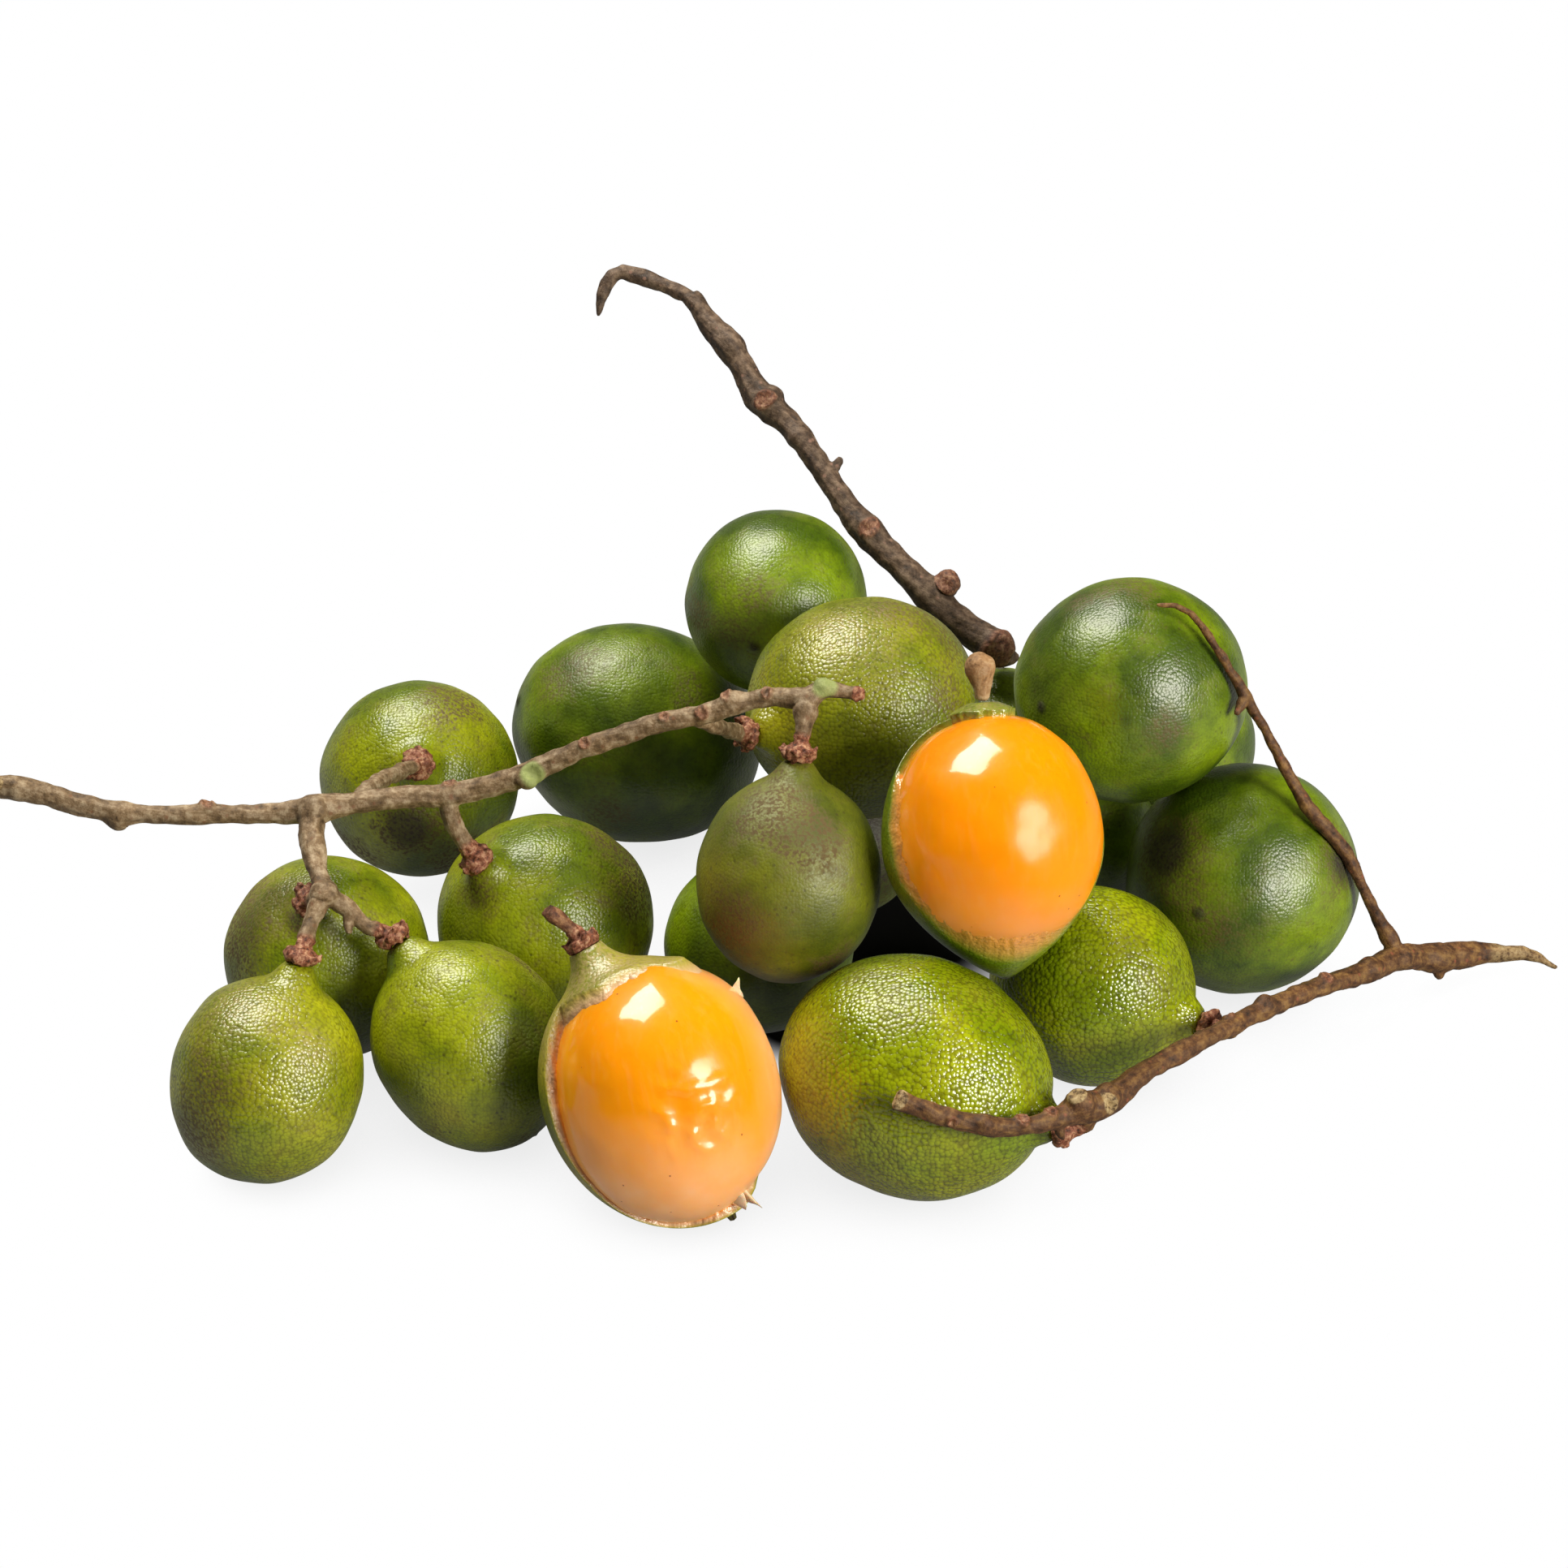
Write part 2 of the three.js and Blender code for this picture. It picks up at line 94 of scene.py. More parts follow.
def add(tree, kind, settings=None, links=None, stops=None):
    made = tree.nodes.new("ShaderNode" + kind)
    for key, value in (settings or {}).items():
        if isinstance(key, str) and hasattr(made, key):
            setattr(made, key, value)
        else:
            made.inputs[key].default_value = value
    for key, source in (links or {}).items():
        tree.links.new(source, made.inputs[key])
    if stops:
        elements = made.color_ramp.elements
        while len(elements) < len(stops):
            elements.new(0.5)
        for element, (place, colour) in zip(elements, stops):
            element.position = place
            element.color = linear(colour) if isinstance(colour, str) else (colour,) * 3 + (1,)
    return made


def new_material(name):
    material = bpy.data.materials.new(name)
    material.use_nodes = True
    material.node_tree.nodes.clear()
    return material, material.node_tree


print("pattern scale of a 2 mm feature:", per(2))

# %% [markdown]
# ## Studio
# One large softbox hangs above and a little behind the heap on the left, a weaker one
# stands low on the right in front, and the room is dim. The level is plain: a white card
# on the table would come out just white. The table is pale and keeps a soft shadow of the
# heap; the camera sees it brighter than its shade, so that it fades into the white
# background. Its colour is darkened where ambient occlusion finds the heap close, and three
# nooks deep under the heap are painted near-black: painted shade.


# %% Studio
# Where the nooks of painted shade are on the table, and how far each reaches, in mm.
PAINTED_SHADE_NOOKS = (((16, 1, 0), 26), ((48, 9, 0), 14), ((0, -22, 0), 13))
TABLE_HALF = 4  # m


def softbox(name, shape, direction, distance, size, level):
    light = bpy.data.lights.new(name, "AREA")
    light.shape = shape
    light.size = size
    light.energy = level * (math.pi * distance) ** 2
    light.color = (1.0, 0.955, 0.86)
    lamp = bpy.data.objects.new(name, light)
    towards = Vector(direction).normalized()
    lamp.location = AIM + distance * towards
    lamp.rotation_euler = towards.to_track_quat("Z", "Y").to_euler()
    bpy.context.scene.collection.objects.link(lamp)
    return lamp


softbox("key_softbox", "SQUARE", (-0.28, 0.36, 0.89), 0.90, 0.48, 1.28)
softbox("front_softbox", "DISK", (0.66, -0.60, 0.42), 1.00, 0.46, 1.1)

world = bpy.data.worlds.new("studio_room")
bpy.context.scene.world = world
world.use_nodes = True
tree = world.node_tree
tree.nodes.clear()
path = add(tree, "LightPath")
seen = add(tree, "Math", {"operation": "MAXIMUM"},
           {0: path.outputs["Is Camera Ray"], 1: path.outputs["Is Transmission Ray"]})
dim = add(tree, "MapRange", {"To Min": 0.045, "To Max": 0.02}, {"Value": path.outputs["Is Glossy Ray"]})
level = add(tree, "Math", {"operation": "MAXIMUM"}, {0: seen.outputs[0], 1: dim.outputs[0]})
room = add(tree, "Background", {"Color": (1, 1, 1, 1)}, {"Strength": level.outputs[0]})
add(tree, "OutputWorld", links={"Surface": room.outputs[0]})

material, tree = new_material("matt_white_table")
path = add(tree, "LightPath")
seen = add(tree, "Math", {"operation": "MAXIMUM"},
           {0: path.outputs["Is Camera Ray"], 1: path.outputs["Is Transmission Ray"]})
closed = add(tree, "AmbientOcclusion", {"samples": 8, "Distance": 60 * MM})
share = add(tree, "MapRange", {"From Min": 0.05, "From Max": 0.5, "To Min": 0.8, "To Max": 1.0},
            {"Value": closed.outputs["AO"]})
place = add(tree, "TexCoord").outputs["Object"]
for nook, reach_mm in PAINTED_SHADE_NOOKS:
    away = add(tree, "VectorMath", {"operation": "DISTANCE", 1: Vector(nook) * MM}, {0: place})
    outside = add(tree, "MapRange", {"interpolation_type": "SMOOTHSTEP",
                                     "From Min": 0.4 * reach_mm * MM, "From Max": reach_mm * MM},
                  {"Value": away.outputs["Value"]})
    share = add(tree, "Math", {"operation": "MULTIPLY"}, {0: share.outputs[0], 1: outside.outputs[0]})
# Painted shade: the table's colour goes from grey to near-black where the occlusion and the nooks close in.
painted_shade_grey = add(tree, "Mix", {"data_type": "RGBA", 6: linear("#1c1c1c"), 7: linear("#868686")},
           {0: share.outputs[0]})
share = add(tree, "Math", {"operation": "MULTIPLY"}, {0: seen.outputs[0], 1: share.outputs[0]})
share = add(tree, "Math", {"operation": "MULTIPLY_ADD", 1: 0.12},
            {0: path.outputs["Is Glossy Ray"], 2: share.outputs[0]})
card = add(tree, "BsdfDiffuse", links={"Color": painted_shade_grey.outputs[2]})
glow = add(tree, "Emission", {"Color": (1, 1, 1, 1), "Strength": 1.0})
both = add(tree, "MixShader", links={0: share.outputs[0], 1: card.outputs[0], 2: glow.outputs[0]})
add(tree, "OutputMaterial", links={"Surface": both.outputs[0]})

sheet = bmesh.new()
bmesh.ops.create_grid(sheet, x_segments=1, y_segments=1, size=TABLE_HALF)
table_mesh = bpy.data.meshes.new("table")
sheet.to_mesh(table_mesh)
sheet.free()
table = bpy.data.objects.new("table", table_mesh)
table.location.z = -0.1 * MM
table.data.materials.append(material)
bpy.context.scene.collection.objects.link(table)
bpy.context.scene.view_settings.view_transform = "Standard"
print("studio: 2 softboxes, a dim room and a white table")

# %% [markdown]
# ## Reading a fruit from the CAD
# Each whole fruit is a turned body: an egg shape with a short neck at the stem end. To put
# a finer skin in the same place, its axis and its two half-sizes are read back from the
# CAD node. The flat top of the neck gives a point on the axis; the right direction is the
# one for which distance from the axis follows an ellipse exactly, which a small search
# over tilts finds.


# %% Reading a fruit from the CAD
def corners(node):
    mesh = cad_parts[node].data
    points = np.empty(3 * len(mesh.vertices))
    mesh.vertices.foreach_get("co", points)
    return np.unique(points.reshape(-1, 3).round(6), axis=0)


def ellipse_fit(points, tip, axis):
    rel = points - tip
    along = rel @ axis
    radius = np.linalg.norm(rel - np.outer(along, axis), axis=1)
    used = (radius > 0.42 * radius.max()) & (points[:, 2] > 0.4 * MM)
    terms = np.stack([np.ones(used.sum()), along[used], along[used] ** 2], axis=1)
    square = radius[used] ** 2
    found = np.linalg.lstsq(terms, square, rcond=None)[0]
    miss = float(np.sum((terms @ found - square) ** 2))
    return miss, found


def read_fruit(node):
    points = corners(node)
    points = points[points[:, 2] > 0.5 * MM]
    middle = (points.min(0) + points.max(0)) / 2
    far = points[np.argsort(np.linalg.norm(points - middle, axis=1))[-6:]].mean(0)
    axis = (far - middle) / np.linalg.norm(far - middle)
    height = points @ axis
    tip = points[height > height.max() - 0.45 * MM].mean(0)
    axis = (tip - middle) / np.linalg.norm(tip - middle)
    step = math.radians(6)
    best, found = ellipse_fit(points, tip, axis)
    while step > math.radians(0.05):
        side = np.cross(axis, (0, 0, 1) if abs(axis[2]) < 0.9 else (1, 0, 0))
        side /= np.linalg.norm(side)
        other = np.cross(axis, side)
        tries = [axis + math.tan(step) * d for d in (side, -side, other, -other)]
        tries = [t / np.linalg.norm(t) for t in tries]
        fits = [ellipse_fit(points, tip, t) for t in tries]
        k = min(range(4), key=lambda i: fits[i][0])
        if fits[k][0] < best:
            best, found, axis = fits[k][0], fits[k][1], tries[k]
        else:
            step /= 2
    a, b, c = found
    level = -b / (2 * c)
    wide = math.sqrt(a - b * b / (4 * c))
    top = float(((points - tip) @ axis).max())
    return {
        "node": node,
        "middle": Vector(tip + level * axis),
        "axis": Vector(axis),
        "wide": wide,
        "long": wide / math.sqrt(-c),
        "top": top - level,
    }


WHOLE_FRUITS = sorted(
    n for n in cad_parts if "fruit" in n and not n.startswith("opened")
)
fruits = {n: read_fruit(n) for n in WHOLE_FRUITS}
for name, fruit in fruits.items():
    sizes = [round(1000 * fruit[k], 2) for k in ("wide", "long", "top")]
    print(name, "half-width, half-length, neck top in mm:", sizes,
          [round(x, 2) for x in fruit["axis"]])

# %% [markdown]
# ## Rind
# Mamoncillo rind is a thin, brittle, green leather. Up close it is covered with oil glands
# that stand out as pebbles about half a millimetre wide, with brown specks between them and
# russet scuffs where fruits rubbed each other. The pebbles could be modelled, but a fruit
# has thousands of them, so they are drawn: cell noise gives the distance to the middle of
# each gland, and its square gives a round dome with narrow valleys. The domes drive the
# bump and their valleys are tinted brown.
#
# The layers are built from the bottom up: two greens in soft patches with fine mottling,
# then the pebbles, then what life added.


# %% Green of the rind and its pebbles
def green_leather(tree, place, pale, deep):
    patches = add(tree, "TexNoise", {"Scale": per(12), "Detail": 3.0}, {"Vector": place})
    patch = add(tree, "ValToRGB", links={0: patches.outputs[0]}, stops=[(0.38, deep), (0.62, pale)])
    mottle = add(tree, "TexNoise", {"Scale": per(2.0), "Detail": 5.0, "Roughness": 0.65},
                 {"Vector": place})
    shade = add(tree, "ValToRGB", links={0: mottle.outputs[0]}, stops=[(0.32, 0.45), (0.6, 1.0)])
    return add(tree, "Mix", {"data_type": "RGBA", "blend_type": "MULTIPLY", 0: 0.55},
               {6: patch.outputs[0], 7: shade.outputs[0]})


def oil_glands(tree, place, colour, pebble, relief):
    glands = add(tree, "TexVoronoi", {"Scale": per(pebble), "Randomness": 0.75}, {"Vector": place})
    square = add(tree, "Math", {"operation": "POWER", 1: 2.0}, {0: glands.outputs["Distance"]})
    domes = add(tree, "MapRange", {"From Max": 0.7, "To Min": 1.0, "To Max": 0.0},
                {"Value": square.outputs[0]})
    valley = add(tree, "MapRange",
                 {"From Min": 0.35, "From Max": 0.75, "To Min": 0.34 * relief, "To Max": 0.0},
                 {"Value": domes.outputs[0]})
    colour = add(tree, "Mix", {"data_type": "RGBA", "blend_type": "MULTIPLY", 7: linear("#82691c")},
                 {0: valley.outputs[0], 6: colour.outputs[2]})
    return colour, domes


print("a 0.5 mm gland has the pattern scale", per(0.5))

# %% [markdown]
# A fruit is rubbed, tanned, dusted and bruised where it hung or lay. A painted attribute,
# "marks", says where: its red is for scuffs, green for yellow cheeks, blue for dust. A
# second one, "tip", darkens the blossom end, the broken neck and bruises. On loose_fruit_8 it
# is painted shade, a dark patch where that fruit sits in the shadow of the heap. Each is laid
# over the green with its own colour, and noise frays it, so that no mark has a painted edge.


# %% Yellow cheeks, specks, scuffs, dust, dry spots and painted shade
def worn(tree, place, colour, grains, specks, russet):
    marks = add(tree, "Attribute", {"attribute_name": "marks"})
    mark = add(tree, "SeparateColor", links={0: marks.outputs["Color"]})
    rubbed, sunny, dusty = mark.outputs
    yellow = add(tree, "Math", {"operation": "MULTIPLY", 1: 0.4}, {0: sunny})
    dots = add(tree, "TexVoronoi", {"Scale": per(1.5)}, {"Vector": place})
    dot = add(tree, "MapRange",
              {"From Min": 0.10, "From Max": 0.2, "To Min": 0.85 * specks, "To Max": 0.0},
              {"Value": dots.outputs["Distance"]})
    scuffs = add(tree, "TexNoise", {"Scale": per(6), "Detail": 9.0, "Roughness": 0.72},
                 {"Vector": place})
    spread = add(tree, "Math", {"operation": "MULTIPLY_ADD", 1: 0.34},
                 {0: rubbed, 2: scuffs.outputs[0]})
    scuff = add(tree, "MapRange", {"From Min": 0.52, "From Max": 0.72}, {"Value": spread.outputs[0]})
    grain = add(tree, "MapRange", {"From Min": 0.42, "From Max": 0.6, "To Min": 0.25},
                {"Value": grains.outputs[0]})
    scuff = add(tree, "Math", {"operation": "MULTIPLY"}, {0: scuff.outputs[0], 1: grain.outputs[0]})
    scuff = add(tree, "Math", {"operation": "MULTIPLY", 1: russet}, {0: scuff.outputs[0]})
    dust = add(tree, "Math", {"operation": "MULTIPLY", 1: 0.55}, {0: dusty})
    dust = add(tree, "Math", {"operation": "MULTIPLY"}, {0: dust.outputs[0], 1: grain.outputs[0]})
    tip = add(tree, "Attribute", {"attribute_name": "tip"})
    even = add(tree, "Math", {"operation": "MAXIMUM", 1: 0.85}, {0: grain.outputs[0]})
    dry_spot_and_painted_shade = add(tree, "Math", {"operation": "MULTIPLY"}, {0: tip.outputs["Fac"], 1: even.outputs[0]})
    for layer, tint in ((yellow, "#ab9c0a"), (dot, "#3c3410"), (scuff, "#5d4a1c"), (dust, "#b59f6a"),
                        (dry_spot_and_painted_shade, "#1e0f06")):
        colour = add(tree, "Mix", {"data_type": "RGBA", 7: linear(tint)},
                     {0: layer.outputs[0], 6: colour.outputs[2]})
    matt = add(tree, "Math", {"operation": "MAXIMUM"}, {0: scuff.outputs[0], 1: dry_spot_and_painted_shade.outputs[0]})
    return colour, matt


print("the layers of wear are ready")

# %% [markdown]
# The skin is a semi-gloss wax over leather, so it is a dielectric with an IOR of 1.5; rubbed
# and dry spots are duller. A torn rind also shows its inside. The attribute "flesh" runs
# from 0 on the outside to 1 at the pulp, a ramp turns it to colours, and a thin coat of
# juice follows the bump, so that the wet grains glint.


# %% Rind
def show_inside(tree, skin, colour, finer, rough, torn, juice):
    flesh = add(tree, "Attribute", {"attribute_name": "flesh"}).outputs["Fac"]
    wet = add(tree, "ValToRGB", links={0: flesh}, stops=torn)
    inside = add(tree, "MapRange", {"From Min": 0.01, "From Max": 0.1}, {"Value": flesh})
    colour = add(tree, "Mix", {"data_type": "RGBA"},
                 {0: inside.outputs[0], 6: colour.outputs[2], 7: wet.outputs[0]})
    dull = add(tree, "MapRange", {"To Min": rough, "To Max": 0.46 - 0.3 * juice},
               {"Value": inside.outputs[0]})
    ripple = add(tree, "MapRange", {"To Min": 0.02 * MM, "To Max": 0.09 * MM},
                 {"Value": inside.outputs[0]})
    coat = add(tree, "MapRange", {"From Min": 0.3, "From Max": 0.6, "To Max": juice}, {"Value": flesh})
    skin.inputs["Coat Roughness"].default_value = 0.06
    tree.links.new(ripple.outputs[0], finer.inputs["Distance"])
    tree.links.new(colour.outputs[2], skin.inputs["Base Color"])
    tree.links.new(dull.outputs[0], skin.inputs["Roughness"])
    tree.links.new(coat.outputs[0], skin.inputs["Coat Weight"])
    tree.links.new(finer.outputs[0], skin.inputs["Coat Normal"])


def rind(name, pale, deep, pebble=0.62, relief=1.0, rough=0.42, specks=0.6, russet=0.4,
         torn=None, juice=0.0):
    material, tree = new_material(name)
    place = add(tree, "TexCoord").outputs["Object"]
    grains = add(tree, "TexNoise", {"Scale": per(0.5), "Detail": 2.0}, {"Vector": place})
    colour = green_leather(tree, place, pale, deep)
    colour, domes = oil_glands(tree, place, colour, pebble, relief)
    colour, matt = worn(tree, place, colour, grains, specks, russet)
    pebbled = add(tree, "Bump", {"Distance": 0.085 * MM * relief, "Strength": 1.0},
                  {"Height": domes.outputs[0]})
    finer = add(tree, "Bump", {"Distance": 0.02 * MM, "Strength": 0.8},
                {"Height": grains.outputs[0], "Normal": pebbled.outputs[0]})
    dull = add(tree, "MapRange", {"To Min": rough, "To Max": rough + 0.35}, {"Value": matt.outputs[0]})
    skin = add(tree, "BsdfPrincipled", {"IOR": 1.5, "Specular IOR Level": 0.8},
               {"Base Color": colour.outputs[2], "Roughness": dull.outputs[0],
                "Normal": finer.outputs[0]})
    if torn:
        show_inside(tree, skin, colour, finer, rough, torn, juice)
    add(tree, "OutputMaterial", links={"Surface": skin.outputs[0]})
    return material


LIME_RIND = rind("rind_lime_green", "#a8b204", "#6a7e00", pebble=0.48, relief=0.75, rough=0.34,
                 specks=0.7, russet=1.0)
DUSTY_RIND = rind("rind_dusty_lime", "#adb010", "#7b8a06", pebble=0.56, relief=1.1, rough=0.3,
                  russet=0.85)
PEBBLED_RIND = rind("rind_pebbled_leather", "#aeb80a", "#7d9202", pebble=0.62, relief=1.35,
                    rough=0.22)
DEEP_RIND = rind("rind_deep_green", "#849e02", "#486000", pebble=0.45, relief=0.5, rough=0.35,
                 specks=0.5, russet=0.75)
OLIVE_RIND = rind("rind_olive_green", "#787e04", "#525c00", pebble=0.42, relief=0.35, rough=0.48,
                  russet=1.0)
print("five rinds; pebbles 0.4 to 0.6 mm wide")

# %% [markdown]
# ## Whole fruits
# A fruit starts as a round ball of rings. It is stretched to the half-sizes read from the
# CAD, the stem end is drawn up into the short neck, the blossom end gets the shallow dimple
# that the flower left, and slow noise takes a few tenths of a millimetre off here and
# there, for no fruit is a perfect egg. A turned profile would do as well; moving the points
# of a ready ball keeps the rings tidy.


# %% Growing a fruit
NECK_WIDE = 1.7 * MM
NECK_FADE = 1.5 * MM
DIMPLE_WIDE = 0.9 * MM
DIMPLE_DEEP = 0.3 * MM
AROUND, ROWS = 112, 80
UNEVEN = 0.3  # mm, of the slow noise


def marked(mesh, name, values):
    layer = mesh.attributes.new(name, "FLOAT", "POINT")
    layer.data.foreach_set("value", np.asarray(values, np.float32))


def painted(mesh, paint):
    layer = mesh.color_attributes.new("marks", "FLOAT_COLOR", "POINT")
    layer.data.foreach_set("color", paint.ravel())


def points_of(mesh):
    points = np.empty(3 * len(mesh.vertices))
    mesh.vertices.foreach_get("co", points)
    return points.reshape(-1, 3)


def keep_piece(name, body, material, cad_node=None):
    mesh = bpy.data.meshes.new(name)
    body.to_mesh(mesh)
    body.free()
    mesh.shade_smooth()
    mesh.materials.append(material)
    piece = bpy.data.objects.new(name, mesh)
    bpy.context.scene.collection.objects.link(piece)
    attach(piece, "root")
    if cad_node:
        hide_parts(cad_node)
    return piece


def turn_from_up(axis):
    return Vector((0, 0, 1)).rotation_difference(axis)


def grow_fruit(fruit):
    body = bmesh.new()
    bmesh.ops.create_uvsphere(body, u_segments=AROUND, v_segments=ROWS, radius=1)
    wide, long = fruit["wide"], fruit["long"]
    neck = fruit["top"] - long
    for vert in body.verts:
        x, y, z = vert.co
        across = math.hypot(x, y) * wide
        height = long * z
        if z > 0:
            past = max(0, across - NECK_WIDE) / NECK_FADE
            height += neck * math.exp(-past * past)
        elif across < DIMPLE_WIDE:
            height -= DIMPLE_DEEP * (1 - across / DIMPLE_WIDE)
        vert.co = (x * wide, y * wide, height)
    turn = turn_from_up(fruit["axis"])
    bmesh.ops.rotate(body, verts=body.verts, matrix=turn.to_matrix())
    bmesh.ops.translate(body, verts=body.verts, vec=fruit["middle"])
    for vert in body.verts:
        out = (vert.co - fruit["middle"]).normalized()
        slow = noise.noise(vert.co * per(10)) + 0.5 * noise.noise(vert.co * per(4))
        vert.co += out * (slow - 0.35) * UNEVEN * MM
        vert.co.z = max(vert.co.z, 0.02 * MM)
    return body


print("a fruit has", AROUND * (ROWS - 1) + 2, "points")

# %% [markdown]
# Each mark has a kind, a direction from the middle of its fruit, and its width in mm. The
# marks are painted as soft round spots on the mesh, and the rind's noise frays them.

# %% Marks of the fruits
MARKS = {
    "left_twig_fruit_1": [("dust", (-0.22, -0.08, 0.97), 6), ("brown", (-0.62, -0.78, -0.12), 5),
                          ("brown", (-0.41, -0.74, 0.54), 4), ("dust", (0.55, -0.44, 0.71), 3)],
    "left_twig_fruit_2": [("yellow", (-0.21, -0.97, -0.14), 3), ("brown", (0.49, -0.61, -0.62), 3),
                          ("brown", (0.54, 0.5, 0.68), 4)],
    "left_twig_fruit_3": [("brown", (-0.79, -0.44, 0.43), 5), ("brown", (-0.79, 0.22, 0.57), 5),
                          ("brown", (-0.13, -0.59, 0.8), 2), ("dust", (-0.48, -0.24, 0.84), 5)],
    "left_twig_fruit_4": [("brown", (0.7, 0.2, 0.68), 5), ("brown", (-0.55, -0.46, 0.7), 3),
                          ("brown", (0.9, -0.22, 0.38), 5)],
    "left_twig_fruit_5": [("dark", (-0.05, -1.0, 0.04), 3.6), ("brown", (-0.67, -0.58, -0.46), 5),
                          ("brown", (0.5, -0.7, -0.51), 5), ("brown", (0.39, -0.04, 0.92), 5)],
    "left_twig_fruit_6": [("yellow", (-0.72, -0.67, 0.18), 6), ("brown", (0.71, 0.18, 0.68), 6),
                          ("brown", (0.22, 0.1, 0.97), 4), ("brown", (0.74, -0.53, 0.41), 4),
                          ("dust", (-0.15, -0.25, 0.95), 8),
                          ("yellow", (0.46, -0.86, -0.22), 5)],
    "left_twig_fruit_7": [("yellow", (-0.84, -0.46, 0.27), 4), ("brown", (-0.6, -0.8, 0.0), 5),
                          ("brown", (-0.17, -0.26, 0.95), 6), ("brown", (0.39, -0.73, -0.55), 3),
                          ("brown", (0.23, -0.5, 0.83), 4)],
    "right_twig_fruit_1": [("yellow", (-0.93, -0.1, 0.34), 7), ("brown", (-0.14, -0.37, 0.92), 4),
                           ("brown", (0.35, -0.9, -0.27), 5), ("brown", (-0.29, 0.2, 0.94), 5)],
    "right_twig_fruit_2": [("brown", (0.7, 0.33, 0.63), 5), ("brown", (0.53, -0.7, 0.48), 3),
                           ("brown", (0.34, -0.52, 0.78), 3)],
    "loose_fruit_1": [("brown", (-0.56, -0.32, 0.76), 5), ("brown", (-0.27, -0.92, -0.27), 4),
                      ("brown", (0.49, -0.48, 0.72), 3)],
    "loose_fruit_2": [("brown", (-0.2, -0.86, 0.47), 3), ("brown", (-0.42, -0.9, 0.09), 3),
                      ("brown", (-0.82, -0.56, 0.13), 3)],
    "loose_fruit_3": [("brown", (0.01, 0.1, 1.0), 4), ("brown", (-0.48, 0.03, 0.88), 3),
                      ("brown", (0.24, -0.96, 0.17), 3)],
    "loose_fruit_4": [("dark", (-0.71, -0.44, 0.55), 4), ("brown", (-0.31, -0.94, 0.15), 3),
                      ("brown", (-0.59, -0.73, 0.35), 4), ("dark", (0.78, -0.43, 0.46), 3)],
    # The dark mark on loose_fruit_8 is painted shade: it darkens the part of that fruit that shows in a
    # deep gap between its neighbours.
    "loose_fruit_8": [("dark", (0.43, -0.79, 0.43), 8)],
}


MARK_CHANNEL = {"brown": 0, "dark": 0, "yellow": 1, "dust": 2}
BRUISE_AND_PAINTED_SHADE = 3.6  # a dark mark is this much stronger than a brown one
DRY_SPOT = 0.8 * MM  # half-width of the blossom dot
BROKEN_NECK = 0.9 * MM


def paint_marks(mesh, fruit):
    points = points_of(mesh) - np.array(fruit["middle"])
    paint = np.zeros((len(points), 4), np.float32)
    paint[:, 3] = 1
    dark = np.zeros(len(points))
    for kind, direction, size in MARKS.get(fruit["node"], []):
        centre = np.array(Vector(direction).normalized()) * fruit["wide"]
        near = np.exp(-((np.linalg.norm(points - centre, axis=1) / (size * MM)) ** 2))
        paint[:, MARK_CHANNEL[kind]] += near * (BRUISE_AND_PAINTED_SHADE if kind == "dark" else 1)
        # A dark mark is a bruise, except on loose_fruit_8, where it is painted shade.
        if kind == "dark":
            dark += 0.95 * np.clip(near * 2 - 0.3, 0, 1)
    painted(mesh, paint)
    height = points @ np.array(fruit["axis"])
    across = np.linalg.norm(points - np.outer(height, fruit["axis"]), axis=1)
    tip = (height < 0) * np.clip(1.6 - across / DRY_SPOT, 0, 1)
    if fruit["node"].startswith("loose"):
        tip += (height > 0) * np.clip(2.4 - across / BROKEN_NECK, 0, 1)
    marked(mesh, "tip", np.clip(tip + dark, 0, 1))


print("marks on", len(MARKS), "fruits")

# %% [markdown]
# Fruits that hang on a twig are paler than the loose ones, which are deep green.

# %% Whole fruits
RINDS = {
    "left_twig_fruit_1": DUSTY_RIND,
    "left_twig_fruit_6": DUSTY_RIND,
    "left_twig_fruit_7": OLIVE_RIND,
    "right_twig_fruit_1": PEBBLED_RIND,
    "right_twig_fruit_2": PEBBLED_RIND,
}
for name, fruit in fruits.items():
    deep = name.startswith("loose")
    finish = RINDS.get(name, DEEP_RIND if deep else LIME_RIND)
    slot = "dark_green_skin" if deep else "green_skin"
    piece = keep_piece(name + "_rind", grow_fruit(fruit), finish, name)
    paint_marks(piece.data, fruit)
print(len(fruits), "whole fruits")
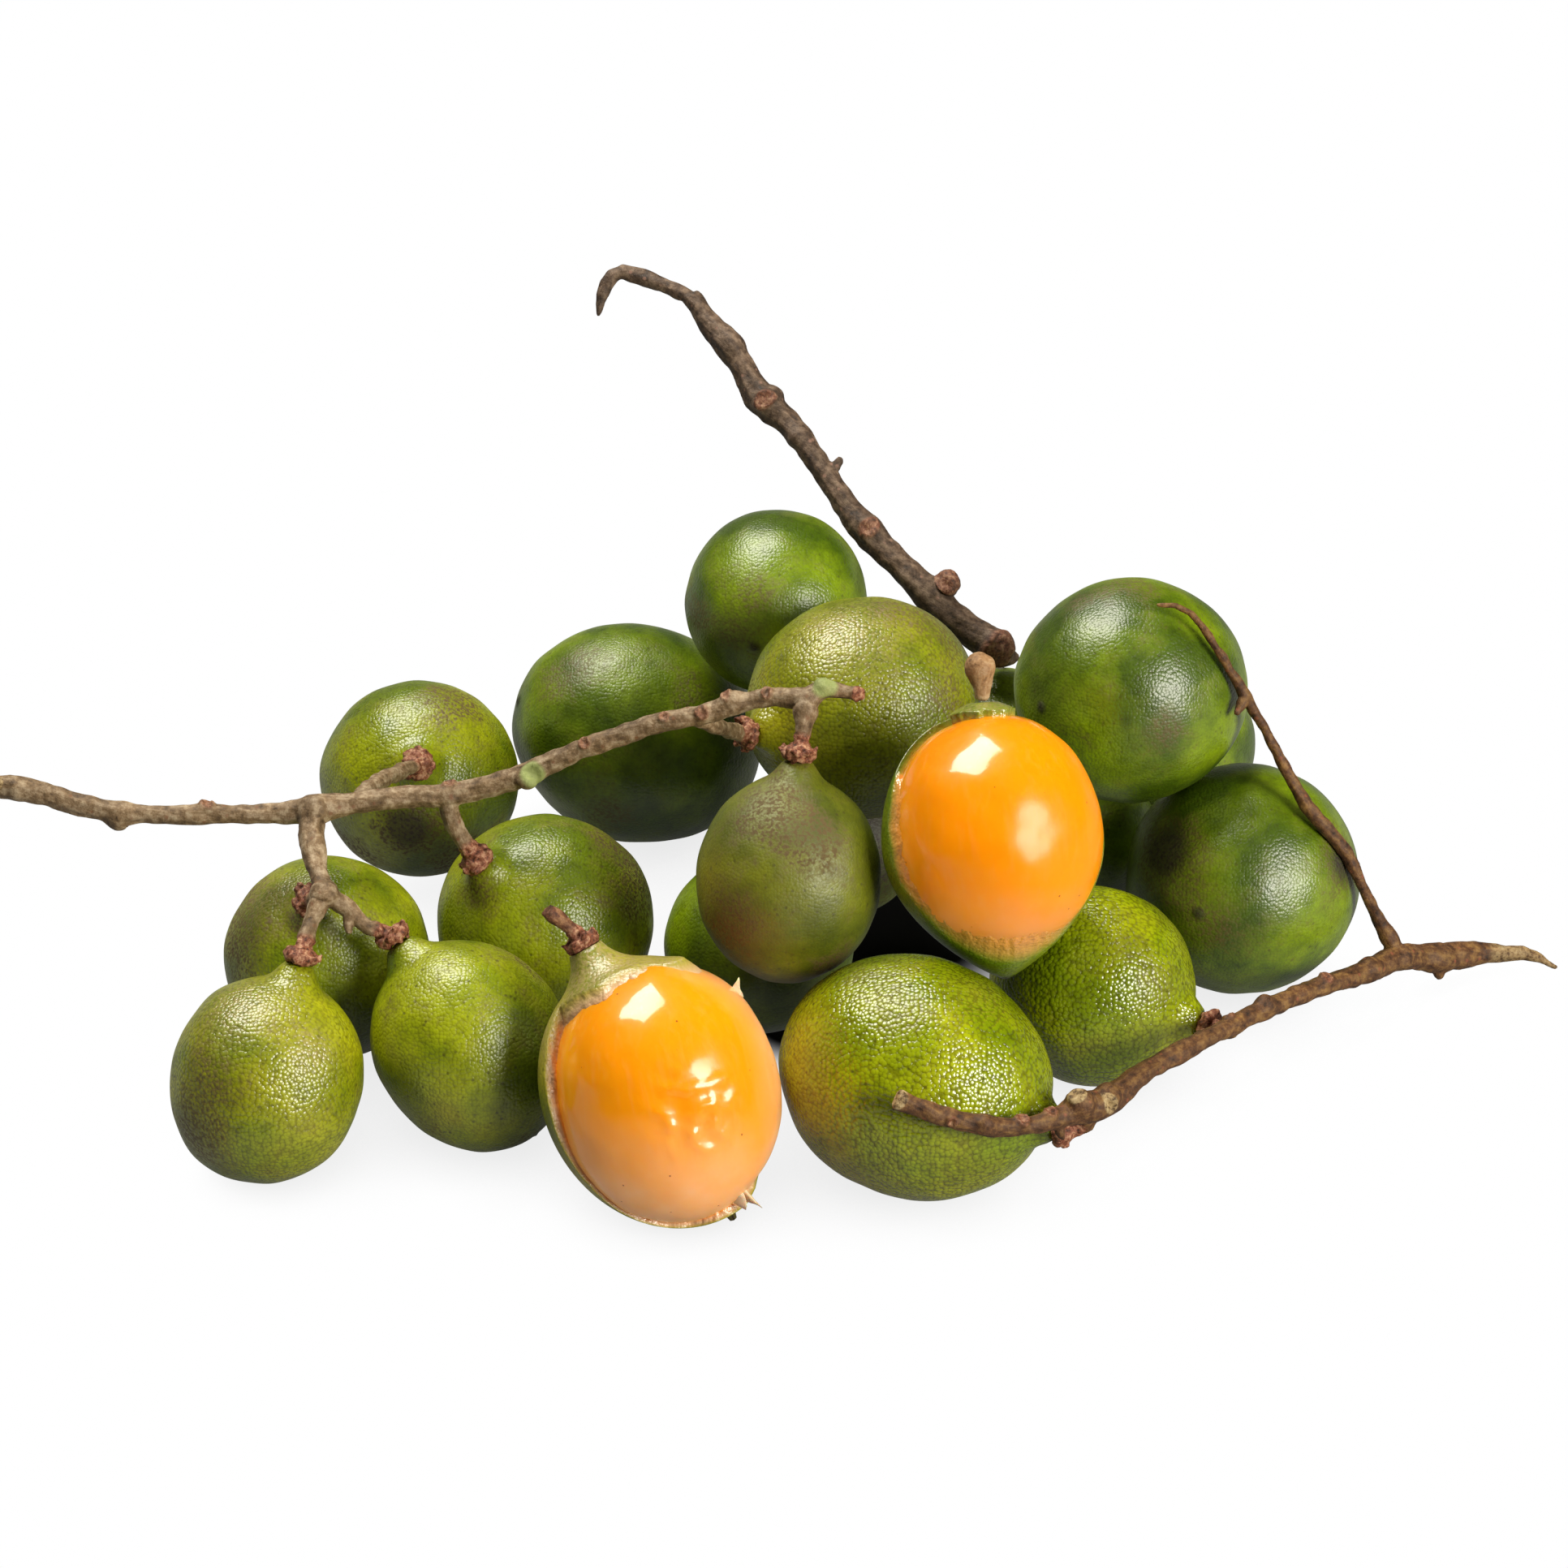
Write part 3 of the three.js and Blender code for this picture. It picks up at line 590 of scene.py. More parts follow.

# %% [markdown]
# ## Pulp
# Ripe mamoncillo pulp is a wet orange jelly over one big seed. Light enters it, so it
# glows, and a film of juice on top gives hard, bright reflections. The colour is a deep
# yellow-orange with faint pale fibres that run from the stem end to the blossom end;
# subsurface scattering softens it, a trace of glow stands for the light that crosses the
# whole fruit, and a clear coat stands for the juice, smooth where the film of it is thick.
# Below, the flesh is painted paler in the fibre colour, a painted reflection of the white
# table, and the front ball also gets a painted sheen along its grazing right edge.
# Mixing in real glass would be truer and far slower, and would look the same from here.


# %% Pulp
def pulp(name, ripe, fibre_and_reflection):
    material, tree = new_material(name)
    place = add(tree, "TexCoord").outputs["Object"]
    grain = add(tree, "Attribute", {"attribute_name": "grain"})
    fibres = add(tree, "TexNoise", {"Scale": per(1.1), "Detail": 4.0, "Roughness": 0.6},
                 {"Vector": grain.outputs["Vector"]})
    pale = add(tree, "MapRange", {"From Min": 0.5, "From Max": 0.75, "To Min": 0.0, "To Max": 0.3},
               {"Value": fibres.outputs[0]})
    # Painted reflection and sheen: the "pale" attribute mixes the fibre colour in below and at the grazing
    # edge.
    edge = add(tree, "Attribute", {"attribute_name": "pale"})
    clouds = add(tree, "TexNoise", {"Scale": per(7), "Detail": 3.0}, {"Vector": place})
    cloud = add(tree, "MapRange", {"From Min": 0.35, "From Max": 0.65, "To Min": 0.55, "To Max": 1.0},
                {"Value": clouds.outputs[0]})
    lower = add(tree, "Math", {"operation": "MULTIPLY"}, {0: edge.outputs["Fac"], 1: cloud.outputs[0]})
    amount = add(tree, "Math", {"operation": "MULTIPLY_ADD", "use_clamp": True, 1: 0.35},
                 {0: pale.outputs[0], 2: lower.outputs[0]})
    colour = add(tree, "Mix", {"data_type": "RGBA", 6: linear(ripe), 7: linear(fibre_and_reflection)},
                 {0: amount.outputs[0]})
    dots = add(tree, "TexVoronoi", {"Scale": per(3.2)}, {"Vector": place})
    dot = add(tree, "MapRange", {"From Min": 0.035, "From Max": 0.06, "To Min": 0.7, "To Max": 0.0},
              {"Value": dots.outputs["Distance"]})
    colour = add(tree, "Mix", {"data_type": "RGBA", 7: linear("#6b2f12")},
                 {0: dot.outputs[0], 6: colour.outputs[2]})
    soft = add(tree, "TexNoise", {"Scale": per(2.5), "Detail": 2.0}, {"Vector": place})
    wave = add(tree, "Bump", {"Distance": 0.06 * MM, "Strength": 0.5}, {"Height": soft.outputs[0]})
    thread = add(tree, "Bump", {"Distance": 0.03 * MM, "Strength": 0.35},
                 {"Height": fibres.outputs[0], "Normal": wave.outputs[0]})
    film = add(tree, "Attribute", {"attribute_name": "film"}).outputs["Fac"]
    thin = add(tree, "MapRange", {"To Min": 0.24, "To Max": 0.09}, {"Value": film})
    juice = add(tree, "MapRange", {"To Min": 0.15, "To Max": 1.0}, {"Value": film})
    flesh = add(tree, "BsdfPrincipled",
                {"Roughness": 0.3, "IOR": 1.45, "Subsurface Weight": 0.5, "Subsurface Scale": 3.0 * MM,
                 "Subsurface Radius": (1.0, 0.4, 0.08), "Specular IOR Level": 0.3, "Coat IOR": 1.5,
                 "Emission Strength": 0.16},
                {"Base Color": colour.outputs[2], "Emission Color": colour.outputs[2],
                 "Coat Roughness": thin.outputs[0], "Coat Weight": juice.outputs[0],
                 "Normal": thread.outputs[0], "Coat Normal": thread.outputs[0]})
    add(tree, "OutputMaterial", links={"Surface": flesh.outputs[0]})
    return material


PULPS = {
    "opened_fruit_front_pulp": pulp("wet_orange_pulp", "#fd9a04", "#f6b478"),
    "opened_fruit_top_pulp": pulp("wet_deep_orange_pulp", "#fd9500", "#f4a86c"),
}
print("pulp fibres 1.1 mm apart")

# %% [markdown]
# ## The two balls of pulp
# Each CAD pulp node is an egg shape, so its long axis and half-sizes can be read from how
# its points spread. The new ball is made from rings again, as the fruits are. Slow noise
# keeps it from being perfect, and it is pressed flatter where a highlight should be broad.
# The front one gets a patch of torn, wrinkled film where the skin pulled away: ridged noise
# makes sharp folds, as wet film does. Places are directions from the middle of the ball,
# sizes and depths are in mm.


# %% Growing the pulp
WRINKLED = {"opened_fruit_front_pulp": ((0.30, -0.86, 0.40), 6.5)}
FLATS = {
    "opened_fruit_front_pulp": [((-0.29, 0.03, 0.95), 4.5, 0.25)],
    "opened_fruit_top_pulp": [((-0.27, -0.20, 0.94), 5.0, 0.45), ((0.32, -0.82, 0.47), 4.0, 0.25)],
}
FOLD = 0.48  # mm


def read_ball(node):
    points = corners(node)
    middle = (points.min(0) + points.max(0)) / 2
    values, vectors = np.linalg.eigh(np.cov((points - middle).T))
    spreads = [np.abs((points - middle) @ vectors[:, k]).max() for k in range(3)]
    k = int(np.argmax(spreads))
    axis = vectors[:, k] * (1 if vectors[2, k] > 0 else -1)
    wide = float(np.mean([spreads[i] for i in range(3) if i != k]))
    return {"node": node, "middle": Vector(middle), "axis": Vector(axis), "wide": wide,
            "long": float(spreads[k])}


def grow_pulp(ball):
    body = bmesh.new()
    bmesh.ops.create_uvsphere(body, u_segments=176, v_segments=128, radius=1)
    bmesh.ops.scale(body, verts=body.verts, vec=(ball["wide"], ball["wide"], ball["long"]))
    turn = turn_from_up(ball["axis"]).to_matrix()
    bmesh.ops.rotate(body, verts=body.verts, matrix=turn)
    bmesh.ops.translate(body, verts=body.verts, vec=ball["middle"])
    for vert in body.verts:
        out = (vert.co - ball["middle"]).normalized()
        slow = noise.noise(vert.co * per(9)) * 0.35 + noise.noise(vert.co * per(3)) * 0.08
        for direction, size, depth in FLATS[ball["node"]]:
            away = (out - Vector(direction).normalized()).length * ball["wide"] / (size * MM)
            slow -= depth * math.exp(-away * away)
        if ball["node"] in WRINKLED:
            direction, size = WRINKLED[ball["node"]]
            away = (out - Vector(direction).normalized()).length * ball["wide"] / (size * MM)
            ridge = noise.ridged_multi_fractal(vert.co * per(3.4), 1.0, 2.1, 3, 0.9, 2.0)
            slow += math.exp(-away ** 4) * (ridge - 1.2) * FOLD
        vert.co += out * slow * MM
    return body


print("flats on", len(FLATS), "balls, folds on", len(WRINKLED))

# %% [markdown]
# Three attributes steer the finish. "grain" is the position, squeezed along the long axis,
# for the fibres; "pale" is painted reflection and sheen: it makes the flesh paler below, where
# the white table would reflect, and on the grazing right edge of the front ball; "film" says
# where the juice is thick enough to shine.

# %% The two balls of pulp
BELOW = (0.0, -0.53, -0.85)
TOWARDS_VIEWER = (-0.25, -0.80, 0.55)
DRIER_SIDE = (0.7, -0.4, -0.3)
FIBRE_SQUEEZE = 0.9
# Where the painted reflection begins below, and how much painted sheen runs up the right side.
PAINTED_REFLECTION_SPREAD = {"opened_fruit_front_pulp": (0.1, 1.0), "opened_fruit_top_pulp": (0.45, 0.0)}


def paint_pulp(mesh, ball):
    rel = points_of(mesh) - np.array(ball["middle"])
    axis = np.array(ball["axis"])
    grain = rel - np.outer(FIBRE_SQUEEZE * (rel @ axis), axis)
    layer = mesh.attributes.new("grain", "FLOAT_VECTOR", "POINT")
    layer.data.foreach_set("vector", grain.ravel().astype(np.float32))
    out = rel / np.linalg.norm(rel, axis=1)[:, None]
    start, side = PAINTED_REFLECTION_SPREAD[ball["node"]]
    # low is the painted reflection of the table below; edge is a painted sheen at the grazing right edge.
    low = np.clip((out @ np.array(BELOW) - start) * 1.5, 0, 1)
    edge = np.clip((0.45 - out @ np.array(TOWARDS_VIEWER)) * 2, 0, 1)
    marked(mesh, "pale", np.maximum(low, side * edge * (out[:, 0] > 0)))
    film = np.clip(0.5 - 1.5 * out @ np.array(DRIER_SIDE), 0, 1)
    if ball["node"] in WRINKLED:
        direction, size = WRINKLED[ball["node"]]
        away = np.linalg.norm(out - np.array(Vector(direction).normalized()), axis=1)
        away *= ball["wide"] / (size * MM)
        film = np.maximum(film, 0.8 * np.exp(-away ** 4))
    marked(mesh, "film", film)


for node, finish in PULPS.items():
    ball = read_ball(node)
    piece = keep_piece(node + "_wet", grow_pulp(ball), finish, node)
    paint_pulp(piece.data, ball)
    print(node, "half-sizes in mm:", round(1000 * ball["wide"], 1), round(1000 * ball["long"], 1))

# %% [markdown]
# ## Peeled rinds
# Two fruits have lost the side of the rind that faces the viewer. A rind is about a
# millimetre thick, green outside and pale, wet and grainy where it tore. It is turned like
# a bowl on a lathe: a profile is spun round the axis, then planes cut the open side off.
# Cutting a finished ball with a second solid would do too, but would leave no control over
# the torn edge. The first curve is the profile: half an egg, or an egg with a pointed
# blossom end, and a short neck at the stem end.


# %% Profile of a peeled rind
def curve(points, count):
    order = len(points) - 1
    for k in range(count):
        t = k / count
        share = [math.comb(order, i) * t**i * (1 - t) ** (order - i) for i in range(order + 1)]
        yield tuple(sum(w * p[j] for w, p in zip(share, points)) for j in (0, 1))


def rind_profile(shape):
    wide, long, neck_wide = shape["wide"], shape["long"], shape["neck_wide"]
    top = long + shape["neck_high"]
    points = []
    if "point" in shape:
        tip = shape["point"]
        points += curve([(0.8 * MM, 0.2 * MM - tip), (0.44 * wide, -0.84 * tip),
                         (wide, -0.44 * tip), (wide, 0)], 34)
    else:
        tip = long
        low = [math.radians(-90 + 90 * k / 36) for k in range(1, 36)]
        points += [(wide * math.cos(a), long * math.sin(a)) for a in low]
    high = [math.radians(68 * k / 28) for k in range(29)]
    points += [(wide * math.cos(a), long * math.sin(a)) for a in high]
    shoulder = (neck_wide + 0.8 * MM, long + 0.2 * MM)
    points += list(curve([points[-1], shoulder, (neck_wide, top)], 9))[1:]
    nub = shape.get("nub", 0)
    end = [(0, -tip - nub), (0.5 * MM, -tip - 0.8 * nub)]
    return [*end, *points, (neck_wide, top), (0, top)]


print("a curve of 3 points:", [tuple(round(x, 2) for x in p) for p in curve([(0, 0), (1, 0), (1, 1)], 3)])

# %% [markdown]
# Each rind is a small table of what a peeler would notice. Sizes first: half-width,
# half-length, neck, the nub or point at the blossom end. Then directions from its middle:
# the stem, the open side, and how far the pulp sits off the middle, in mm. Then the tear:
# how far from the middle the open side is cut, how high the collar round the stem is torn,
# how much the cut sags towards the stem, a flap that stands up at the collar (direction,
# width, rise), and the skin kept round the tip (width, rise). Last, the torn rim: how
# fleshy, low and overhanging it is, and how much the skin at the stem has faded.

# %% The two peeled rinds
FRONT_RIND = {
    "wide": 16.2 * MM, "long": 18.9 * MM, "neck_wide": 2.4 * MM, "neck_high": 3.0 * MM, "nub": 0.9 * MM,
    "stem": (-0.48, 0.44, 0.76), "open": (0.47, -0.66, 0.58), "pulp_off": (0.5, -0.6, 0.6),
    "open_at": -1.6 * MM, "collar": 17.3 * MM, "sag": 0.0,
    "flap": ((0.10, 0.36, 0.93), 0.2, 3.8 * MM), "tip_kept": (0.3, 5.0 * MM),
    "collar_flesh": 0.6, "band": 0.28, "lip": 0.0, "faded": 1.3,
}
TOP_RIND = {
    "wide": 15.4 * MM, "long": 18.5 * MM, "neck_wide": 2.0 * MM, "neck_high": 0.5 * MM, "point": 18.9 * MM,
    "stem": (-0.09, 0.50, 0.86), "open": (0.24, -0.75, 0.62), "pulp_off": (0.2, -0.3, 1.5),
    "open_at": 1.5 * MM, "collar": 18.5 * MM, "sag": 4.5 * MM,
    "collar_flesh": 0.25, "band": 0.0, "lip": 0.5, "faded": 0.7,
}
for shape in (FRONT_RIND, TOP_RIND):
    print("profile points:", len(rind_profile(shape)))

# %% [markdown]
# The lathe spins the profile. Before the planes cut, the points are pushed about by noise
# and afterwards put back, which makes the torn edge wander although the cut is plane.


# %% Spinning and tearing
AROUND_RIND = 150
RAGGED = 1.0  # mm, how far the tear wanders
FLAP_LIFT = 1.4  # mm, how far the flap stands off the pulp


def directions(shape):
    return Vector(shape["stem"]).normalized(), Vector(shape["open"]).normalized()


def spun_bowl(shape):
    body = bmesh.new()
    body.verts.layers.float.new("flesh")
    body.verts.layers.float_vector.new("home")
    line = [body.verts.new((r, 0, h)) for r, h in rind_profile(shape)]
    edges = [body.edges.new(pair) for pair in zip(line, line[1:])]
    bmesh.ops.spin(body, geom=line + edges, cent=(0, 0, 0), axis=(0, 0, 1),
                   angle=2 * math.pi, steps=AROUND_RIND, use_merge=True)
    bmesh.ops.remove_doubles(body, verts=body.verts, dist=0.02 * MM)
    bmesh.ops.recalc_face_normals(body, faces=body.faces)
    stem, face = directions(shape)
    bmesh.ops.rotate(body, verts=body.verts, matrix=turn_from_up(stem).to_matrix())
    return body


def pushed(place, shape, stem, face):
    push = noise.noise(place * per(4)) * 0.6 + noise.noise(place * per(1.1)) * 0.25
    up = max(0, place.normalized().dot(stem))
    moved = place + ((face + stem) * push * RAGGED * MM + face * shape["sag"] * up * up)
    if "flap" in shape:
        way, size, rise = shape["flap"]
        away = (moved.normalized() - Vector(way).normalized()).length / size
        moved += stem * rise * math.exp(-away * away)
    if "tip_kept" in shape:
        size, rise = shape["tip_kept"]
        away = (moved.normalized() + stem).length / size
        moved -= face * rise * math.exp(-away * away)
    return moved


def tear_open(body, shape):
    stem, face = directions(shape)
    home = body.verts.layers.float_vector["home"]
    for vert in body.verts:
        vert[home] = vert.co
        vert.co = pushed(vert.co, shape, stem, face)
    parts = body.verts[:] + body.edges[:] + body.faces[:]
    bmesh.ops.bisect_plane(body, geom=parts, plane_co=stem * shape["collar"], plane_no=stem)
    lower = [f for f in body.faces if f.calc_center_median().dot(stem) < shape["collar"]]
    parts = list(dict.fromkeys(part for f in lower for part in (f, *f.edges, *f.verts)))
    bmesh.ops.bisect_plane(body, geom=parts, plane_co=face * shape["open_at"], plane_no=face)
    gone = [f for f in body.faces
            if f.calc_center_median().dot(stem) < shape["collar"]
            and f.calc_center_median().dot(face) > shape["open_at"]]
    bmesh.ops.delete(body, geom=gone, context="FACES")
    for vert in body.verts:
        vert.co = vert[home]
    bmesh.ops.remove_doubles(body, verts=body.verts, dist=0.04 * MM)


def lift_flap(body, shape, middle):
    stem = Vector(shape["stem"]).normalized()
    way, size = shape["flap"][:2]
    for vert in body.verts:
        out = (vert.co - middle).normalized()
        near = math.exp(-(((out - Vector(way).normalized()).length / size) ** 2))
        vert.co += out * FLAP_LIFT * near * MM * max(0, 0.9 - out.dot(stem)) / 0.15


trial = spun_bowl(TOP_RIND)
print("a spun bowl has", len(trial.verts), "points")
trial.free()

# %% [markdown]
# The torn shell is then given a second skin, whose points are drawn in to the surface of
# the pulp, and the new rim between the two is divided so that wet granules can be raised on
# it. The attribute "flesh" runs from 0 on the outside over the rim to 1 at the pulp.


# %% Thickness and rim
LAP = 0.25 * MM  # how deep the inner skin dips into the pulp
GRANULES = 0.25  # mm, on the torn rim
ABOVE_TABLE = 0.05 * MM


def reach(ball, direction):
    along = direction.dot(ball["axis"])
    across = math.sqrt(max(0, 1 - along * along))
    return 1 / math.hypot(along / ball["long"], across / ball["wide"])


def add_inner_skin(body, shape, ball, middle):
    stem, face = directions(shape)
    flesh = body.verts.layers.float["flesh"]
    skin = bmesh.ops.extrude_face_region(body, geom=body.faces[:], use_keep_orig=True)
    inner = {part for part in skin["geom"] if isinstance(part, bmesh.types.BMVert)}
    rim = {e for v in inner for e in v.link_edges if e.other_vert(v) not in inner}
    for vert in inner:
        out = (vert.co - ball["middle"]).normalized()
        if any(e in rim for e in vert.link_edges):
            high = (vert.co - middle).dot(stem)
            upper = min(1, max(0, (high - 8 * MM) / (3 * MM)))
            over = shape["lip"] * max(0.35, -out.dot(stem)) * (1 - upper)
            out = (out + face * over - stem * shape["band"] * upper).normalized()
        vert.co = ball["middle"] + out * (reach(ball, out) - LAP)
    bmesh.ops.recalc_face_normals(body, faces=body.faces)
    for vert in inner:
        height = (vert.co - middle).dot(stem)
        vert[flesh] = shape["collar_flesh"] if height > 10 * MM else 1
    return inner


def raise_granules(body, inner):
    flesh = body.verts.layers.float["flesh"]
    rungs = [e for e in body.edges if (e.verts[0] in inner) != (e.verts[1] in inner)]
    before = set(body.verts)
    bmesh.ops.subdivide_edges(body, edges=rungs, cuts=9, use_grid_fill=True)
    body.normal_update()
    for vert in body.verts:
        if vert not in before:
            grain = noise.noise(vert.co * per(0.7)) + 0.6 * noise.noise(vert.co * per(1.6))
            share = vert[flesh]
            vert.co += vert.normal * grain * GRANULES * 4 * share * (1 - share) * MM
    return len(body.verts) - len(before)


def torn_rind(shape, ball):
    body = spun_bowl(shape)
    tear_open(body, shape)
    middle = ball["middle"] - Vector(shape["pulp_off"]) * MM
    bmesh.ops.translate(body, verts=body.verts, vec=middle)
    if "flap" in shape:
        lift_flap(body, shape, middle)
    torn = sum(e.is_boundary for e in body.edges)
    inner = add_inner_skin(body, shape, ball, middle)
    rim_points = raise_granules(body, inner)
    for vert in body.verts:
        vert.co.z = max(vert.co.z, ABOVE_TABLE)
    print("torn edge:", torn, "edges; rim points:", rim_points)
    return body, middle


def paint_rind(mesh, shape, middle):
    points = points_of(mesh) - np.array(middle)
    stem = np.array(Vector(shape["stem"]).normalized())
    height = points @ stem
    across = np.linalg.norm(points - np.outer(height, stem), axis=1)
    marked(mesh, "tip", (height < 0) * np.clip(1.8 - across / (0.9 * MM), 0, 1))
    paint = np.zeros((len(points), 4), np.float32)
    paint[:, MARK_CHANNEL["dust"]] = shape["faded"] * np.clip((height / MM - 9) / 5, 0, 1)
    painted(mesh, paint)


ball = read_ball("opened_fruit_top_pulp")
print("the top pulp is", round(1000 * reach(ball, Vector((0, 0, 1))), 1), "mm from middle to top")

# %% [markdown]
# The torn rinds are the green leather of the whole fruits with a ramp for their inside: on
# the front one it is dry, tan and peach, on the top one wet, from olive to the orange of
# the pulp. The top one's orange stops are partly painted light: lighter than the flesh, to
# brighten a rim that faces away from the key softbox.

# %% Peeled rinds
FRONT_TORN = rind("rind_torn_front", "#b9b030", "#8a9418", pebble=0.5, relief=0.6, rough=0.34,
                  torn=[(0.0, "#a09c2c"), (0.14, "#b6a050"), (0.4, "#d6b082"), (0.62, "#dea878"),
                        (0.8, "#e89a44"), (1.0, "#ffa020")], juice=0.3)
# Real olive-to-orange flesh, with the orange stops lightened as painted light for a rim in shade.
TOP_TORN = rind("rind_torn_top", "#86981a", "#5f7c08", pebble=0.5, relief=0.6, rough=0.3,
                torn=[(0.0, "#567c0c"), (0.12, "#94942e"), (0.3, "#cca048"), (0.6, "#f2a44c"),
                      (1.0, "#ffa43c")], juice=1.0)
for node, shape, finish in (("opened_fruit_front", FRONT_RIND, FRONT_TORN),
                            ("opened_fruit_top", TOP_RIND, TOP_TORN)):
    body, middle = torn_rind(shape, read_ball(node + "_pulp"))
    piece = keep_piece(node + "_peeled_rind", body, finish, node + "_skin")
    paint_rind(piece.data, shape, middle)
print("two peeled rinds")

# %% [markdown]
# Peeling leaves shreds of pale film on the wet pulp of the front fruit: one stands up at
# its right shoulder, two hang at its lower end. Each is a cone pressed flat and bent by
# noise, which gives the soft point that torn film has. A shred is the direction of its foot
# from the middle of the pulp, the way it leans, and its height and half-width in mm.

# %% Shreds of film
SHREDS = [((0.57, 0.47, 0.67), (0.2, 0.2, 1.0), 2.8, 1.2),
          ((0.60, -0.48, -0.64), (0.7, -0.3, -0.5), 4.2, 1.9),
          ((0.55, -0.53, -0.64), (0.5, -0.2, -0.8), 3.0, 1.9)]
FLAT = 0.35  # of a shred's width

film, tree = new_material("pale_wet_film")
veil = add(tree, "BsdfPrincipled", {"Base Color": linear("#ecd2ae"), "Roughness": 0.25, "IOR": 1.4,
                                    "Subsurface Weight": 0.5, "Subsurface Scale": 1 * MM})
add(tree, "OutputMaterial", links={"Surface": veil.outputs[0]})
ball = read_ball("opened_fruit_front_pulp")
for k, (way, lean, tall, broad) in enumerate(SHREDS):
    way = Vector(way).normalized()
    lean = Vector(lean).normalized()
    body = bmesh.new()
    bmesh.ops.create_cone(body, segments=14, radius1=broad * MM, radius2=0.08 * MM, depth=tall * MM,
                          cap_ends=True)
    sides = [e for e in body.edges if abs(e.verts[0].co.z - e.verts[1].co.z) > MM]
    bmesh.ops.subdivide_edges(body, edges=sides, cuts=7)
    bmesh.ops.scale(body, verts=body.verts, vec=(1, FLAT, 1))
    bmesh.ops.rotate(body, verts=body.verts, matrix=turn_from_up(lean).to_matrix())
    foot = ball["middle"] + way * (reach(ball, way) - 0.3 * MM) + lean * 0.3 * tall * MM
    bmesh.ops.translate(body, verts=body.verts, vec=foot)
    for vert in body.verts:
        vert.co += noise.noise_vector(vert.co * per(1.6)) * 0.35 * MM
        vert.co.z = max(vert.co.z, 0.1 * MM)
    keep_piece(f"pulp_shred_{k + 1}", body, film)
print(len(SHREDS), "shreds of film")

# %% [markdown]
# ## Bark
# The twigs are dry wood, two to four millimetres thick, with fine lengthwise cracks, small
# round pores, darker knots and a paler, greyish film. Where a fruit hangs, the dried flower
# cup is left: a ring of curled red-brown flakes. Where a twig was cut, the wood is cream
# with a dark rim. The bark reads its grain from an attribute of the mesh, a position that
# is squeezed along the twig, so that the cracks follow every bend.


# %% Bark
def bark(name, dark, mid, light, fleck, relief=1.0):
    material, tree = new_material(name)
    place = add(tree, "TexCoord").outputs["Object"]
    grain = add(tree, "Attribute", {"attribute_name": "grain"}).outputs["Vector"]
    marks = add(tree, "Attribute", {"attribute_name": "marks"})
    mark = add(tree, "SeparateColor", links={0: marks.outputs["Color"]})
    streaks = add(tree, "TexNoise", {"Scale": per(1.0), "Detail": 6.0, "Roughness": 0.7}, {"Vector": grain})
    lumps, clouds, flakes = (
        add(tree, "TexNoise", {"Scale": per(size), "Detail": detail, "Roughness": rough},
            {"Vector": place})
        for size, detail, rough in ((1.3, 5.0, 0.65), (5, 4.0, 0.6), (0.8, 4.0, 0.7))
    )
    blend = add(tree, "Mix", {0: 0.6}, {2: streaks.outputs[0], 3: lumps.outputs[0]})
    wood = add(tree, "ValToRGB", links={0: blend.outputs[0]},
               stops=[(0.36, dark), (0.49, mid), (0.62, light)])
    cloud = add(tree, "ValToRGB", links={0: clouds.outputs[0]}, stops=[(0.36, 0.55), (0.62, 1.0)])
    colour = add(tree, "Mix", {"data_type": "RGBA", "blend_type": "MULTIPLY", 0: 0.6},
                 {6: wood.outputs[0], 7: cloud.outputs[0]})
    pores = add(tree, "TexVoronoi", {"Scale": per(1.9)}, {"Vector": place})
    pore = add(tree, "MapRange", {"From Min": 0.1, "From Max": 0.2, "To Min": 0.7, "To Max": 0.0},
               {"Value": pores.outputs["Distance"]})
    colour = add(tree, "Mix", {"data_type": "RGBA", 7: linear(fleck)},
                 {0: pore.outputs[0], 6: colour.outputs[2]})
    cup = add(tree, "ValToRGB", links={0: flakes.outputs[0]},
              stops=[(0.36, "#40200f"), (0.5, "#8a5038"), (0.66, "#c69a78")])
    cream = add(tree, "ValToRGB", links={0: flakes.outputs[0]},
                stops=[(0.36, "#4a3319"), (0.52, "#a88e62"), (0.7, "#cbb68a")])
    ring = add(tree, "ValToRGB", links={0: mark.outputs[1]}, stops=[(0.08, 0.0), (0.5, 1.0)])
    sap = add(tree, "Mix", {"data_type": "RGBA", 6: linear("#6f7f38"), 7: linear("#b3ba7a")},
              {0: flakes.outputs[0]})
    for share, tint in ((mark.outputs[0], cup.outputs[0]), (ring.outputs[0], cream.outputs[0]),
                        (mark.outputs[2], sap.outputs[2])):
        colour = add(tree, "Mix", {"data_type": "RGBA"}, {0: share, 6: colour.outputs[2], 7: tint})
    cracks = add(tree, "Bump", {"Distance": 0.18 * MM * relief, "Strength": 0.9},
                 {"Height": blend.outputs[0]})
    rough = add(tree, "Bump", {"Distance": 0.14 * MM * relief, "Strength": 0.8},
                {"Height": flakes.outputs[0], "Normal": cracks.outputs[0]})
    skin = add(tree, "BsdfPrincipled", {"Roughness": 0.62, "IOR": 1.45, "Specular IOR Level": 0.5},
               {"Base Color": colour.outputs[2], "Normal": rough.outputs[0]})
    add(tree, "OutputMaterial", links={"Surface": skin.outputs[0]})
    return material


